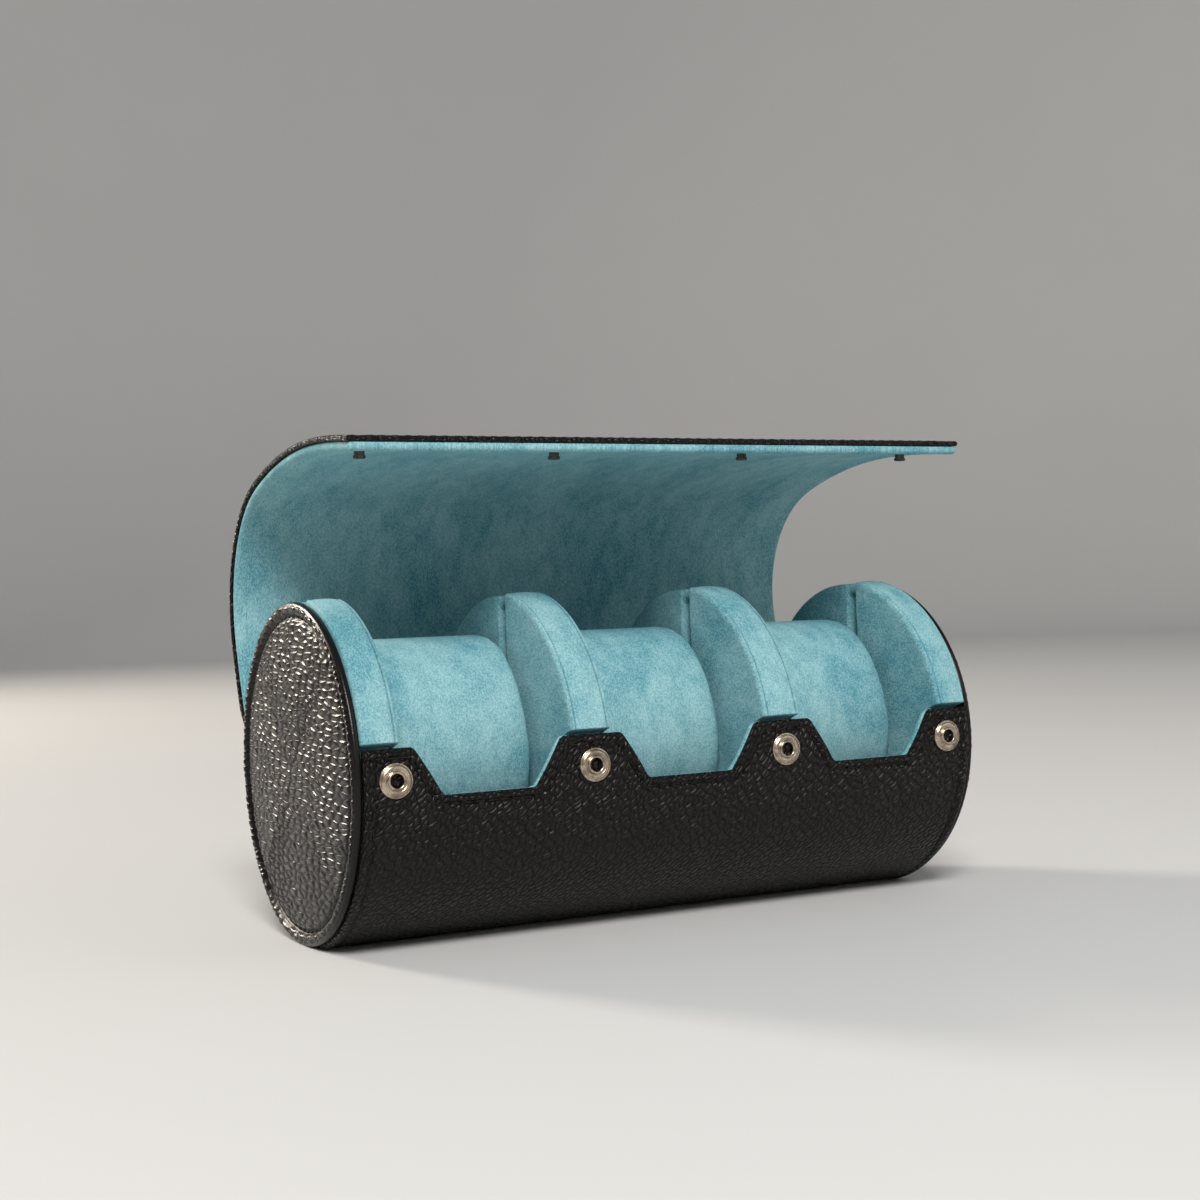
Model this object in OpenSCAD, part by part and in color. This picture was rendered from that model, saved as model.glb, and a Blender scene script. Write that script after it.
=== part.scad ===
// Three-bay watch travel case: a leather cylinder with a flexible curling lid.
// Millimetres. X runs along the case, -Y is the front, Z is up, origin under the middle.

/* [Case] */
// Outer radius of the leather shell
shell_radius = 48; // [44:0.5:54]
// Half the length of the leather shell along X
shell_half = 96.1; // [90:0.1:104]
// Depth of the flat on the underside that the shell stands on
flat_depth = 1.2; // [0.6:0.1:2]
// Thickness of the outer leather
leather = 1.6; // [1.2:0.1:2]
// Thickness of the stiffener board
board = 0.6; // [0.4:0.1:1]
// Thickness of the suede lining with its padding
lining = 1.8; // [1:0.1:2.5]
// Height of the tooth tops above the case axis
tooth_top = 9.2; // [6:0.1:12]
// Height of the notch bottoms above the case axis
notch_bottom = -3.6; // [-8:0.1:0]
// Angle of the back edge of the shell above the horizontal
back_angle = 14; // [10:0.5:18]

/* [Teeth] */
// Width of an outer tooth at its top, in from the end of the shell
outer_tooth = 14; // [10:0.1:18]
// Half the width of an inner tooth at its top
inner_tooth_half = 9.05; // [7:0.05:12]
// How far a notch side leans in between its top and its bottom
notch_slope = 7.9; // [4:0.1:10]

/* [End discs] */
// How far the edge of an end disc lies inside the outer face of the shell
disc_inset = 1; // [0.4:0.1:3]
// How far a disc stands out past the shell
disc_proud = 2.2; // [1.5:0.1:4]
// Rounding of a disc edge
disc_round = 0.8; // [0.4:0.1:1.2]

/* [Dividers] */
// Thickness of a divider
divider_width = 12.2; // [8:0.1:16]
// Thickness of an end wall
wall_width = 10.6; // [8:0.1:14]
// How far the rear part of a divider rim lies below its front part
rear_drop = 1.2; // [0:0.1:3]
// Rounding of the rim edges
rim_round = 1.5; // [0.8:0.1:3]
// Thickness of the suede around a divider
cover = 1.2; // [0.8:0.1:2]
// Width of the tucked groove at a divider top
groove_width = 4.4; // [3:0.1:6]
// Middle of the tucked groove, in front of the axis
groove_middle = 4.6; // [2:0.1:8]
// Depth of the tucked groove below the rim
groove_depth = 2.6; // [1:0.1:4]

/* [Pillows] */
// Radius of a pillow
pillow_radius = 31.2; // [28:0.1:33]
// Gap between the end of a pillow and the wall beside it
pillow_gap = 0.25; // [0.1:0.05:1]
// Rounding of the pillow ends
pillow_round = 9; // [4:0.5:12]
// How much fuller a pillow is in its middle than at its ends
pillow_crown = 1.2; // [0.4:0.1:2]
// Pillow axis behind the case axis
pillow_back = 4.5; // [0:0.1:8]
// Pillow axis above the case axis
pillow_up = 4.3; // [0:0.1:8]

/* [Snaps] */
// Outer snaps in from the ends of the shell
snap_inset = 8.5; // [7:0.1:12]
// Angle of the sockets above the front horizontal
snap_angle = 1; // [-4:0.5:6]
// Radius of a socket ring
ring_radius = 4.6; // [4:0.1:6]
// Radius of the hole in a socket ring
ring_hole = 2.4; // [2:0.1:3]
// How far a ring stands off the leather
ring_proud = 1.2; // [0.8:0.1:1.4]
// Radius of a stud head
stud_radius = 1.7; // [1.4:0.1:1.9]
// Height of a stud
stud_height = 2; // [1.5:0.1:2.4]
// Distance of the studs from the start of the last lid section
stud_along = 10.2; // [8:0.1:13]

/* [Lid] */
// How far the lid reaches past the shell at each end
lid_overhang = 1.1; // [0:0.1:2.2]
// Angle around the case that the six sections of the closed lid cover
lid_cover = 189; // [170:1:200]
// Direction in which the lid leaves the hinge, from upright
lid_start = -22; // [-40:1:0]
// Turn of the first lid section
turn_1 = 8; // [2:1:20]
// Turn of the second lid section
turn_2 = 43; // [20:1:50]
// Turn of the third lid section
turn_3 = 42; // [20:1:50]
// Turn of the fourth lid section
turn_4 = 10; // [2:1:30]
// Turn of the fifth lid section
turn_5 = 10; // [2:1:30]
// Turn of the last lid section
turn_6 = 5; // [1:1:30]

/* [Hidden] */
$fn = 96;

brown = [0.09, 0.06, 0.05];
turquoise = [0.1, 0.5, 0.55];
grey = [0.35, 0.34, 0.32];
foam_grey = [0.6, 0.6, 0.58];
nickel = [0.78, 0.74, 0.66];
gunmetal = [0.16, 0.15, 0.15];

// Layers of the shell, from its outer face in
axis_height = shell_radius - flat_depth;
board_radius = shell_radius - leather;
lining_radius = board_radius - board;
bay_radius = lining_radius - lining;
wall = leather + board + lining;
disc_radius = shell_radius - disc_inset;

// Three equal bays between the end walls and the dividers
bay_width = 2 * (shell_half - wall_width - divider_width) / 3;
divider_middle = (bay_width + divider_width) / 2;
wall_middle = shell_half - wall_width / 2;
pillow_step = bay_width + divider_width;
pillow_half = bay_width / 2 - pillow_gap;
rim_front = shell_radius;
rim_rear = rim_front - rear_drop;

// Teeth and snaps, with a snap on each tooth
outer_tooth_in = shell_half - outer_tooth;
inner_tooth_in = divider_middle - inner_tooth_half;
inner_tooth_out = divider_middle + inner_tooth_half;
snap_outer = shell_half - snap_inset;
snaps = [-snap_outer, -divider_middle, divider_middle, snap_outer];

// Small gaps: a hair between touching layers, and a fit around a fastener
hair = 0.01;
fit = 0.05;
// Overlap of two shapes that are joined or cut
lap = 0.2;
// Half length of a cutting block, past both ends of the case
reach = 2 * shell_half;

// The bare shell sheet starts above the front teeth, at this angle from the back horizontal
shell_from = 160;
// Depth that a socket ring is let into the leather
seat = 0.3;

turns = [turn_1, turn_2, turn_3, turn_4, turn_5, turn_6];

// Pivot line of the lid and the leather roll around it
pivot_inset = 0.6;
pivot_radius = shell_radius - pivot_inset;
pivot_y = pivot_radius * cos(back_angle);
pivot_z = pivot_radius * sin(back_angle);
roll_radius = 1.45;
lid_offset = 1.6;
lid_half = shell_half + lid_overhang;
section = PI * shell_radius * lid_cover / 180 / len(turns);

// Lid sections: start angles, bend radii and start points along the curl
function angle_at(i) = i == 0 ? lid_start : angle_at(i - 1) + turns[i - 1];
function bend(i) = section * 180 / (PI * turns[i]);
function chord(i) = 2 * bend(i) * sin(turns[i] / 2);
function heading(i) = angle_at(i) + turns[i] / 2;
function start_y(i) = i == 0
  ? pivot_y + lid_offset * cos(lid_start)
  : start_y(i - 1) - chord(i - 1) * sin(heading(i - 1));
function start_z(i) = i == 0
  ? pivot_z + lid_offset * sin(lid_start)
  : start_z(i - 1) + chord(i - 1) * cos(heading(i - 1));
function centre_y(i) = start_y(i) - bend(i) * cos(angle_at(i));
function centre_z(i) = start_z(i) - bend(i) * sin(angle_at(i));

// How far each joint may straighten, in degrees, and which face it turns on
straighten = [0, 3.8, 4.8, 1.5, 6.1, 6];
bare_gap = 0.04;
function half_gap(k, low, high) = k == 0 || k == 6
  ? 0
  : bare_gap + (k == 2 ? wall - low : high) * tan(straighten[k]) / 2;

module at_axis() {
  translate([0, 0, axis_height])
  children();
}

// Turns a shape revolved about Z so that it is revolved about X
module along_x() {
  rotate([90, 0, 90])
  children();
}

// Stands a shape on the ray at an angle from +Y towards +Z
module on_ray(x, y, z, angle, distance) {
  translate([x, y + distance * cos(angle), z + distance * sin(angle)])
  rotate([angle - 90, 0, 0])
  children();
}

module arc_sheet(low, high, half, from, sweep) {
  along_x()
  rotate([0, 0, from])
  rotate_extrude(angle = sweep)
  translate([low, -half])
  square([high - low, 2 * half]);
}

// Region cut away above the teeth and notches, seen from the front
module notch_2d(from, to) {
  polygon([
    [from, tooth_top],
    [from + notch_slope, notch_bottom],
    [to - notch_slope, notch_bottom],
    [to, tooth_top],
    [to + lap, tooth_top + lap],
    [from - lap, tooth_top + lap]
  ]);
}

module front_cut_2d() {
  translate([-reach, tooth_top])
  square([2 * reach, shell_radius]);
  notch_2d(-outer_tooth_in, -inner_tooth_out);
  notch_2d(-inner_tooth_in, inner_tooth_in);
  notch_2d(inner_tooth_out, outer_tooth_in);
}

module front_cut() {
  translate([0, -shell_radius / 2, 0])
  rotate([90, 0, 0])
  linear_extrude(height = shell_radius)
  front_cut_2d();
}

module roll_space(radius) {
  translate([-reach, pivot_y, pivot_z])
  rotate([0, 90, 0])
  cylinder(r = radius, h = 2 * reach);
}

module underside() {
  translate([-reach, -shell_radius, -axis_height - shell_radius])
  cube([2 * reach, 2 * shell_radius, shell_radius]);
}

module shell_layer(low, high) {
  difference() {
    arc_sheet(low, high, shell_half, shell_from, 360 + back_angle - shell_from);
    front_cut();
    roll_space(roll_radius + 2 * hair);
    underside();
  }
}

module at_snaps() {
  for (x = snaps)
    on_ray(x, 0, 0, 180 - snap_angle, 0)
    children();
}

module body_leather() {
  color(brown)
  at_axis()
  difference() {
    shell_layer(board_radius, shell_radius);
    at_snaps() {
      translate([0, 0, bay_radius])
      cylinder(r = barrel_out + fit, h = 2 * wall);
      translate([0, 0, shell_radius - seat])
      cylinder(r = ring_radius + fit, h = wall);
    }
  }
}

module body_board() {
  color(grey)
  at_axis()
  difference() {
    shell_layer(lining_radius, board_radius);
    at_snaps()
    translate([0, 0, bay_radius])
    cylinder(r = plate_radius + 2 * fit, h = 2 * wall);
  }
}

module body_lining() {
  color(turquoise)
  at_axis()
  shell_layer(bay_radius, lining_radius);
}

module hinge_roll() {
  color(brown)
  at_axis()
  translate([-shell_half, pivot_y, pivot_z])
  rotate([0, 90, 0])
  cylinder(r = roll_radius, h = 2 * shell_half);
}

// Disc with a rounded outer edge, its back on the plane z = 0
module round_disc(radius, height, edge) {
  rotate_extrude() {
    square([radius - edge, height]);
    square([radius, height - edge]);
    translate([radius - edge, height - edge])
    circle(r = edge);
  }
}

module end_leather(side) {
  color(brown)
  at_axis()
  scale([side, 1, 1])
  translate([shell_half, 0, 0])
  rotate([0, 90, 0])
  difference() {
    round_disc(disc_radius, disc_proud, disc_round);
    translate([0, 0, -board])
    cylinder(r = disc_radius - leather, h = 2 * board);
  }
}

module end_board(side) {
  color(grey)
  at_axis()
  scale([side, 1, 1])
  translate([shell_half, 0, 0])
  rotate([0, 90, 0])
  cylinder(r = disc_radius - leather - fit, h = board - 2 * hair);
}

module slab(radius, width, edge) {
  along_x()
  rotate_extrude() {
    translate([0, -width / 2])
    square([radius - edge, width]);
    translate([0, -width / 2 + edge])
    square([radius, width - 2 * edge]);
    translate([radius - edge, -width / 2 + edge])
    circle(r = edge);
    translate([radius - edge, width / 2 - edge])
    circle(r = edge);
  }
}

// Gaps under the ends of a divider rim, above the teeth and behind the lid's fold
front_lift = 0.9;
rear_lift = 2.2;
// Small rounding of the hidden edges, and how far the tucked top is drawn in at each face
slab_round = 0.4;
tuck_side = 0.8;
// Level above the axis from which the tucked top is kept
tuck_from = 20;

// Divider shape: a disc inside the shell with a taller rim above its edges
module partition(width, inset) {
  slim = width - 2 * inset;
  tuck_half = groove_width / 2 + inset;
  block = 2 * shell_radius;
  union() {
    slab(bay_radius - 2 * hair - inset, slim, slab_round);
    intersection() {
      slab(rim_front - inset, slim, rim_round);
      translate([-width, -block, tooth_top + front_lift + inset])
      cube([2 * width, block - groove_middle - tuck_half, block]);
    }
    intersection() {
      slab(rim_rear - inset, slim, rim_round);
      translate([-width, tuck_half - groove_middle, pivot_z + rear_lift + inset])
      cube([2 * width, block, block]);
    }
    intersection() {
      slab(rim_rear - groove_depth - inset, slim - 2 * tuck_side, slab_round);
      translate([-width, -tuck_from, tuck_from])
      cube([2 * width, 2 * tuck_from, block]);
    }
  }
}

module partition_suede(x, width) {
  color(turquoise)
  at_axis()
  translate([x, 0, 0])
  difference() {
    partition(width, 0);
    partition(width, cover);
  }
}

module partition_foam(x, width) {
  color(foam_grey)
  at_axis()
  translate([x, 0, 0])
  partition(width, cover + hair);
}

// Roll with rounded ends and a crown that swells towards its middle
module pillow_form(radius, half, edge) {
  swell = pow(pillow_half, 2) / (2 * pillow_crown);
  along_x()
  rotate_extrude()
  intersection() {
    union() {
      translate([0, -half])
      square([radius - edge, 2 * half]);
      translate([0, -half + edge])
      square([radius, 2 * half - 2 * edge]);
      translate([radius - edge, -half + edge])
      circle(r = edge);
      translate([radius - edge, half - edge])
      circle(r = edge);
    }
    translate([radius - swell, 0])
    circle(r = swell);
  }
}

module at_pillow(x) {
  at_axis()
  translate([x, pillow_back, pillow_up])
  children();
}

panel_radius = pillow_radius - pillow_round;

module pillow_wrap(x) {
  color(turquoise)
  at_pillow(x)
  difference() {
    pillow_form(pillow_radius, pillow_half, pillow_round);
    pillow_form(pillow_radius - cover, pillow_half - cover, pillow_round - cover);
    along_x()
    cylinder(r = panel_radius, h = 4 * pillow_half, center = true);
  }
}

module pillow_ends(x) {
  color(turquoise)
  at_pillow(x)
  for (side = [-1, 1])
    translate([side * (pillow_half - cover / 2), 0, 0])
    along_x()
    cylinder(r = panel_radius - 2 * hair, h = cover, center = true);
}

module pillow_foam(x) {
  color(foam_grey)
  at_pillow(x)
  pillow_form(pillow_radius - cover - hair, pillow_half - cover - hair, pillow_round - cover);
}

// Rounding of a ring's outer edge and of its lip, and the tube that clamps it
ring_edge = 0.5;
ring_lip = 0.3;
barrel_in = 3.2;
barrel_out = 3.7;
// Two spring wires across the hole of a ring
wire_apart = 2.1;
wire_below = 0.7;
wire_radius = 0.25;
wire_length = 4.3;
// Round plates that hold the rings and the studs from behind
plate_radius = 4.5;
plate = 0.3;

ring_low = shell_radius - seat;
ring_high = shell_radius + ring_proud;
plate_low = lining_radius + 2 * hair;
plate_high = plate_low + plate;

module socket_rings() {
  color(nickel)
  at_axis()
  at_snaps()
  rotate_extrude() {
    translate([ring_hole + ring_lip, ring_low])
    square([ring_radius - ring_hole - ring_lip - ring_edge, ring_high - ring_low]);
    translate([ring_hole, ring_low])
    square([ring_radius - ring_hole, ring_high - ring_low - ring_edge]);
    translate([ring_radius - ring_edge, ring_high - ring_edge])
    circle(r = ring_edge);
    translate([ring_hole + ring_lip, ring_high - ring_lip])
    circle(r = ring_lip);
    translate([barrel_in, plate_high])
    square([barrel_out - barrel_in, ring_low - plate_high + lap]);
  }
}

module socket_springs() {
  color(gunmetal)
  at_axis()
  at_snaps()
  for (side = [-1, 1])
    translate([side * wire_apart, 0, ring_low - wire_below])
    rotate([90, 0, 0])
    cylinder(r = wire_radius, h = wire_length, center = true, $fn = 24);
}

module socket_backs() {
  color(gunmetal)
  at_axis()
  at_snaps()
  translate([0, 0, plate_low])
  cylinder(r = plate_radius, h = plate);
}

module at_studs() {
  for (x = snaps)
    on_ray(x, centre_y(5), centre_z(5), angle_at(5) + stud_along / section * turn_6, bend(5))
    children();
}

// Rounding and thickness of a stud head, and the radius of its neck
stud_edge = 0.4;
stud_head = 0.9;
stud_neck = 1.4;
// Level of the plate that holds a stud, behind the lining, and its thickness
stud_plate_low = lining + 0.1;
stud_plate = 0.4;

module studs() {
  color(gunmetal)
  at_axis()
  at_studs()
  translate([0, 0, -stud_height])
  rotate_extrude() {
    square([stud_radius - stud_edge, 2 * stud_edge]);
    translate([0, stud_edge])
    square([stud_radius, stud_head - stud_edge]);
    translate([stud_radius - stud_edge, stud_edge])
    circle(r = stud_edge);
    square([stud_neck, stud_height + stud_plate_low]);
  }
}

module stud_plates() {
  color(gunmetal)
  at_axis()
  at_studs()
  translate([0, 0, stud_plate_low])
  cylinder(r = plate_radius, h = stud_plate);
}

// One layer of one lid section between two depths from the lining face
module lid_layer(i, low, high, half) {
  span = bend(i) + high;
  lead = half_gap(i, low, high) * 180 / (PI * span);
  tail = half_gap(i + 1, low, high) * 180 / (PI * span);
  translate([0, centre_y(i), centre_z(i)])
  arc_sheet(bend(i) + low, bend(i) + high, half, angle_at(i) + lead, turns[i] - lead - tail);
}

// How far the board and the lining stop short of the ends of the lid
board_inset = 1.5;
lining_inset = 0.6;

module lid_leather(i) {
  color(brown)
  at_axis()
  lid_layer(i, lining + board, wall, lid_half);
}

module lid_board(i) {
  color(grey)
  at_axis()
  difference() {
    lid_layer(i, lining + hair, lining + board - hair, lid_half - board_inset);
    if (i == 5)
      at_studs()
      cylinder(r = plate_radius + 2 * fit, h = 2 * wall, center = true);
  }
}

module lid_lining(i) {
  color(turquoise)
  at_axis()
  difference() {
    lid_layer(i, 0, lining, lid_half - lining_inset);
    if (i == 5)
      at_studs()
      cylinder(r = stud_neck + 2 * hair, h = 2 * wall, center = true);
  }
}

body_leather();
body_board();
body_lining();
hinge_roll();
end_leather(-1);  // left_end_leather
end_leather(1);  // right_end_leather
end_board(-1);  // left_end_board
end_board(1);  // right_end_board
partition_suede(-wall_middle, wall_width);  // left_wall_suede
partition_suede(wall_middle, wall_width);  // right_wall_suede
partition_foam(-wall_middle, wall_width);  // left_wall_foam
partition_foam(wall_middle, wall_width);  // right_wall_foam
partition_suede(-divider_middle, divider_width);  // left_divider_suede
partition_suede(divider_middle, divider_width);  // right_divider_suede
partition_foam(-divider_middle, divider_width);  // left_divider_foam
partition_foam(divider_middle, divider_width);  // right_divider_foam
pillow_wrap(-pillow_step);  // left_pillow_wrap
pillow_wrap(0);  // middle_pillow_wrap
pillow_wrap(pillow_step);  // right_pillow_wrap
pillow_ends(-pillow_step);  // left_pillow_ends
pillow_ends(0);  // middle_pillow_ends
pillow_ends(pillow_step);  // right_pillow_ends
pillow_foam(-pillow_step);  // left_pillow_foam
pillow_foam(0);  // middle_pillow_foam
pillow_foam(pillow_step);  // right_pillow_foam
socket_rings();
socket_springs();
socket_backs();
studs();
stud_plates();
lid_leather(0);  // lid_leather_1
lid_leather(1);  // lid_leather_2
lid_leather(2);  // lid_leather_3
lid_leather(3);  // lid_leather_4
lid_leather(4);  // lid_leather_5
lid_leather(5);  // lid_leather_6
lid_board(0);  // lid_board_1
lid_board(1);  // lid_board_2
lid_board(2);  // lid_board_3
lid_board(3);  // lid_board_4
lid_board(4);  // lid_board_5
lid_board(5);  // lid_board_6
lid_lining(0);  // lid_lining_1
lid_lining(1);  // lid_lining_2
lid_lining(2);  // lid_lining_3
lid_lining(3);  // lid_lining_4
lid_lining(4);  // lid_lining_5
lid_lining(5);  // lid_lining_6
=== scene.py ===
"""Visual model of a three-bay watch travel case: pebbled leather outside, turquoise suede inside.

Lengths are in millimetres and become metres when a mesh is made; only materials and the sides of
lamps are given in metres. The frame's X axis runs along the case, -Y is the front with its four
snap teeth, and +Z is up from the flat underside.
"""
import logging
import math
from dataclasses import dataclass, field
from enum import Enum
from typing import Optional

import bpy
import numpy as np
from mathutils import Matrix, Vector


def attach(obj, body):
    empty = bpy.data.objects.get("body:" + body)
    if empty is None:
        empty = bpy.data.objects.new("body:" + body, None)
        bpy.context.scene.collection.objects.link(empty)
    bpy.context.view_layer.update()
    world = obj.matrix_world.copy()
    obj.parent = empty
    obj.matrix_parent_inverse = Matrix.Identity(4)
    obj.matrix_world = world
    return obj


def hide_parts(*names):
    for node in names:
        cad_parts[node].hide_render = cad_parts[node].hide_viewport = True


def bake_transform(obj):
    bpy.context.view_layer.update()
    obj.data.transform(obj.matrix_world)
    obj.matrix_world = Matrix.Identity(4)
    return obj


log = logging.getLogger("travel_case")
MM = 0.001
TURN = 2.0 * math.pi
QUARTER = math.pi / 2.0
Array = np.ndarray
Values = np.ndarray | float


class Side(Enum):
    """Which end of the case a mirrored piece belongs to."""

    LEFT = -1
    RIGHT = 1


class Bay(Enum):
    """The three bays, each with the X place of its pillow."""

    LEFT = -61.0667
    MIDDLE = 0.0
    RIGHT = 61.0667


class PatternSpace(Enum):
    """Where a finish reads its pattern: the piece's own UV map in metres, or object space."""

    UV = "uv"
    OBJECT = "object"


# ------------------------------
# Shape helpers
# ------------------------------

# Modelled pebbles: size of the jittered grid and its reach in cells, how wide the flank of a pebble
# is in cells, and the mean and the spread of its height.
JITTER_CELLS = 64
JITTER_REACH = 0.42
PEBBLE_FLANK = 0.75
PEBBLE_HEIGHT = 0.85
PEBBLE_SPREAD = 0.35

# Rounded edges of a sheet: steps round an edge, and the angle in degrees past which it shades sharp.
EDGE_STEPS = 6
SHARP_ANGLE = 55.0

# One stitch: its length, gap and thread radius, its vertices, the powers that blunt its ends, the
# radius of its tip, how deep its ends dive in thread radii, and how far along it is aimed.
STITCH_LENGTH = 2.7
STITCH_GAP = 0.75
THREAD_RADIUS = 0.28
STITCH_RINGS = 8
STITCH_SIDES = 6
BLUNT_ALONG = 0.7
BLUNT_ACROSS = 0.55
STITCH_TIP = 0.02
STITCH_DIVE = 0.55
STITCH_AIM = 0.2


def smooth_step(low: float, high: float, value: Array) -> Array:
    """Cubic ease from 0 at low to 1 at high.

    Args:
        low: Value at which the ease starts.
        high: Value at which the ease ends.
        value: Values to ease.

    Returns:
        t * t * (3 - 2 t), with t clipped to 0..1.
    """
    t = np.clip((value - low) / (high - low), 0.0, 1.0)
    return t * t * (3.0 - 2.0 * t)


def groove(distance: Array, width: float, depth: float) -> Array:
    """Bell-shaped furrow: -depth * exp(-(distance / width)^2).

    Args:
        distance: Distance from the furrow's line.
        width: Distance at which the furrow has mostly faded.
        depth: Depth at the line.

    Returns:
        Height change, zero or negative.
    """
    return -depth * np.exp(-((distance / width) ** 2))


def pebbles(u: Array, v: Array, length: float, width: float, seed: int) -> Array:
    """Height of leather pebbles, 0 in the creases and about 1 on top.

    Seeds are jittered once in every cell of a grid of length x width. With t the gap between the
    distances to the nearest and the second nearest seed, over PEBBLE_FLANK and clipped to 0..1, a
    pebble's section is the parabola 1 - (1 - t)^2, times a random height for each pebble.

    Args:
        u: Places along the pebbles.
        v: Places across the pebbles.
        length: Mean length of a pebble.
        width: Mean width of a pebble.
        seed: Seed of the jitter.

    Returns:
        Heights, in the shape of u and v.
    """
    spread = (JITTER_CELLS, JITTER_CELLS, 3)
    jitter = np.random.default_rng(seed).uniform(-JITTER_REACH, JITTER_REACH, spread)
    across, up = u / length, v / width
    cell_u, cell_v = np.floor(across).astype(int), np.floor(up).astype(int)
    gaps, tall = [], []
    for step_u in (-1, 0, 1):
        for step_v in (-1, 0, 1):
            near = jitter[(cell_u + step_u) % JITTER_CELLS, (cell_v + step_v) % JITTER_CELLS]
            seed_u = cell_u + step_u + 0.5 + near[..., 0]
            seed_v = cell_v + step_v + 0.5 + near[..., 1]
            gaps.append(np.hypot(across - seed_u, up - seed_v))
            tall.append(near[..., 2])
    gaps, tall = np.stack(gaps), np.stack(tall)
    order = np.argsort(gaps, axis=0)
    first = np.take_along_axis(gaps, order[:1], 0)[0]
    second = np.take_along_axis(gaps, order[1:2], 0)[0]
    size = np.take_along_axis(tall, order[:1], 0)[0]
    t = np.clip((second - first) / PEBBLE_FLANK, 0.0, 1.0)
    return (1.0 - (1.0 - t) ** 2) * (PEBBLE_HEIGHT + PEBBLE_SPREAD * size)


def unit(vectors: Array) -> Array:
    """Vectors scaled to length one along the last axis."""
    return vectors / np.maximum(np.linalg.norm(vectors, axis=-1, keepdims=True), 1e-9)


def around(radius: Values, angle: Values) -> tuple[Values, Values]:
    """Point of a circle about the case axis: y = r cos(angle), z = r sin(angle) + axis height."""
    return radius * np.cos(angle), radius * np.sin(angle) + CASE.axis_height


def ordered(*columns: Values) -> Array:
    """Broadcasts x, y and z, or two pattern coordinates, and stacks them as points."""
    return np.stack(np.broadcast_arrays(*columns), axis=-1).astype(float)


def add_mesh(name: str, points: Array, quads: Array, uv: Optional[Array] = None,
             triangles: Optional[Array] = None, shade: Optional[Array] = None,
             grain: Optional[Array] = None) -> bpy.types.Object:
    """Makes a smooth-shaded mesh object from whole arrays.

    Args:
        name: Name of the piece.
        points: Vertices in millimetres, shape (n, 3).
        quads: Four-cornered faces, shape (m, 4).
        uv: Optional pattern coordinates per vertex in millimetres, shape (n, 2).
        triangles: Optional three-cornered faces, shape (k, 3).
        shade: Optional depth of shade per vertex, 0 to 1, that a finish darkens its seams by.
        grain: Optional height of the modelled pebbles per vertex, 0 in a crease and 1 on top.

    Returns:
        The new object, at the origin, with its place in its mesh.
    """
    mesh = bpy.data.meshes.new(name)
    corners = quads.reshape(-1)
    totals = np.full(len(quads), 4)
    if triangles is not None and len(triangles):
        corners = np.concatenate([corners, triangles.reshape(-1)])
        totals = np.concatenate([totals, np.full(len(triangles), 3)])
    starts = np.concatenate([[0], np.cumsum(totals)[:-1]])
    mesh.vertices.add(len(points))
    mesh.vertices.foreach_set("co", (points * MM).astype(np.float32).reshape(-1))
    mesh.loops.add(len(corners))
    mesh.loops.foreach_set("vertex_index", corners.astype(np.int32))
    mesh.polygons.add(len(totals))
    mesh.polygons.foreach_set("loop_start", starts.astype(np.int32))
    mesh.polygons.foreach_set("use_smooth", np.ones(len(totals), bool))
    if uv is not None:
        layer = mesh.uv_layers.new(name="UVMap")
        layer.data.foreach_set("uv", (uv[corners] * MM).astype(np.float32).reshape(-1))
    for label, marks in (("shade", shade), ("grain", grain)):
        if marks is not None:
            values = mesh.attributes.new(label, "FLOAT", "POINT")
            values.data.foreach_set("value", marks.astype(np.float32).reshape(-1))
    mesh.update(calc_edges=True)
    mesh.validate()
    piece = bpy.data.objects.new(name, mesh)
    bpy.context.scene.collection.objects.link(piece)
    return piece


def quads_between(numbers: Array, wrap: bool = False) -> Array:
    """Faces between rows of vertex numbers.

    Args:
        numbers: Vertex numbers, shape (rows, columns).
        wrap: Whether the last column joins the first.

    Returns:
        Faces, shape (m, 4).
    """
    if wrap:
        numbers = np.concatenate([numbers, numbers[:, :1]], axis=1)
    low, high = numbers[:-1], numbers[1:]
    return np.stack([low[:, :-1], low[:, 1:], high[:, 1:], high[:, :-1]], axis=-1).reshape(-1, 4)


def grid_quads(rows: int, columns: int, start: int = 0, flip: bool = False,
               wrap: bool = False) -> Array:
    """Faces of a grid whose vertices are numbered row by row.

    Args:
        rows: Number of vertex rows.
        columns: Number of vertex columns.
        start: Number of the first vertex.
        flip: Whether the faces turn the other way.
        wrap: Whether the last column joins the first.

    Returns:
        Faces, shape (m, 4).
    """
    quads = quads_between(start + np.arange(rows * columns).reshape(rows, columns), wrap)
    return quads[:, ::-1] if flip else quads


def border_loop(rows: int, columns: int) -> Array:
    """Vertex numbers round the border of a grid, each once, starting down its first column."""
    index = np.arange(rows * columns).reshape(rows, columns)
    return np.concatenate([index[:, 0], index[-1, 1:], index[-2::-1, -1], index[0, -2:0:-1]])


def border_push(grid: Array, reach: tuple[float, float, float, float]) -> Array:
    """Directions that leave a grid across its borders, zero inside it.

    Args:
        grid: Points or pattern coordinates, shape (u, v, n).
        reach: Length of the direction at low u, high u, low v and high v.

    Returns:
        Directions in the shape of the grid. At a corner the two borders' directions are added.
    """
    along_u, along_v = unit(np.gradient(grid, axis=0)), unit(np.gradient(grid, axis=1))
    push = np.zeros(grid.shape)
    push[0] -= along_u[0] * reach[0]
    push[-1] += along_u[-1] * reach[1]
    push[:, 0] -= along_v[:, 0] * reach[2]
    push[:, -1] += along_v[:, -1] * reach[3]
    return push


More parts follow.
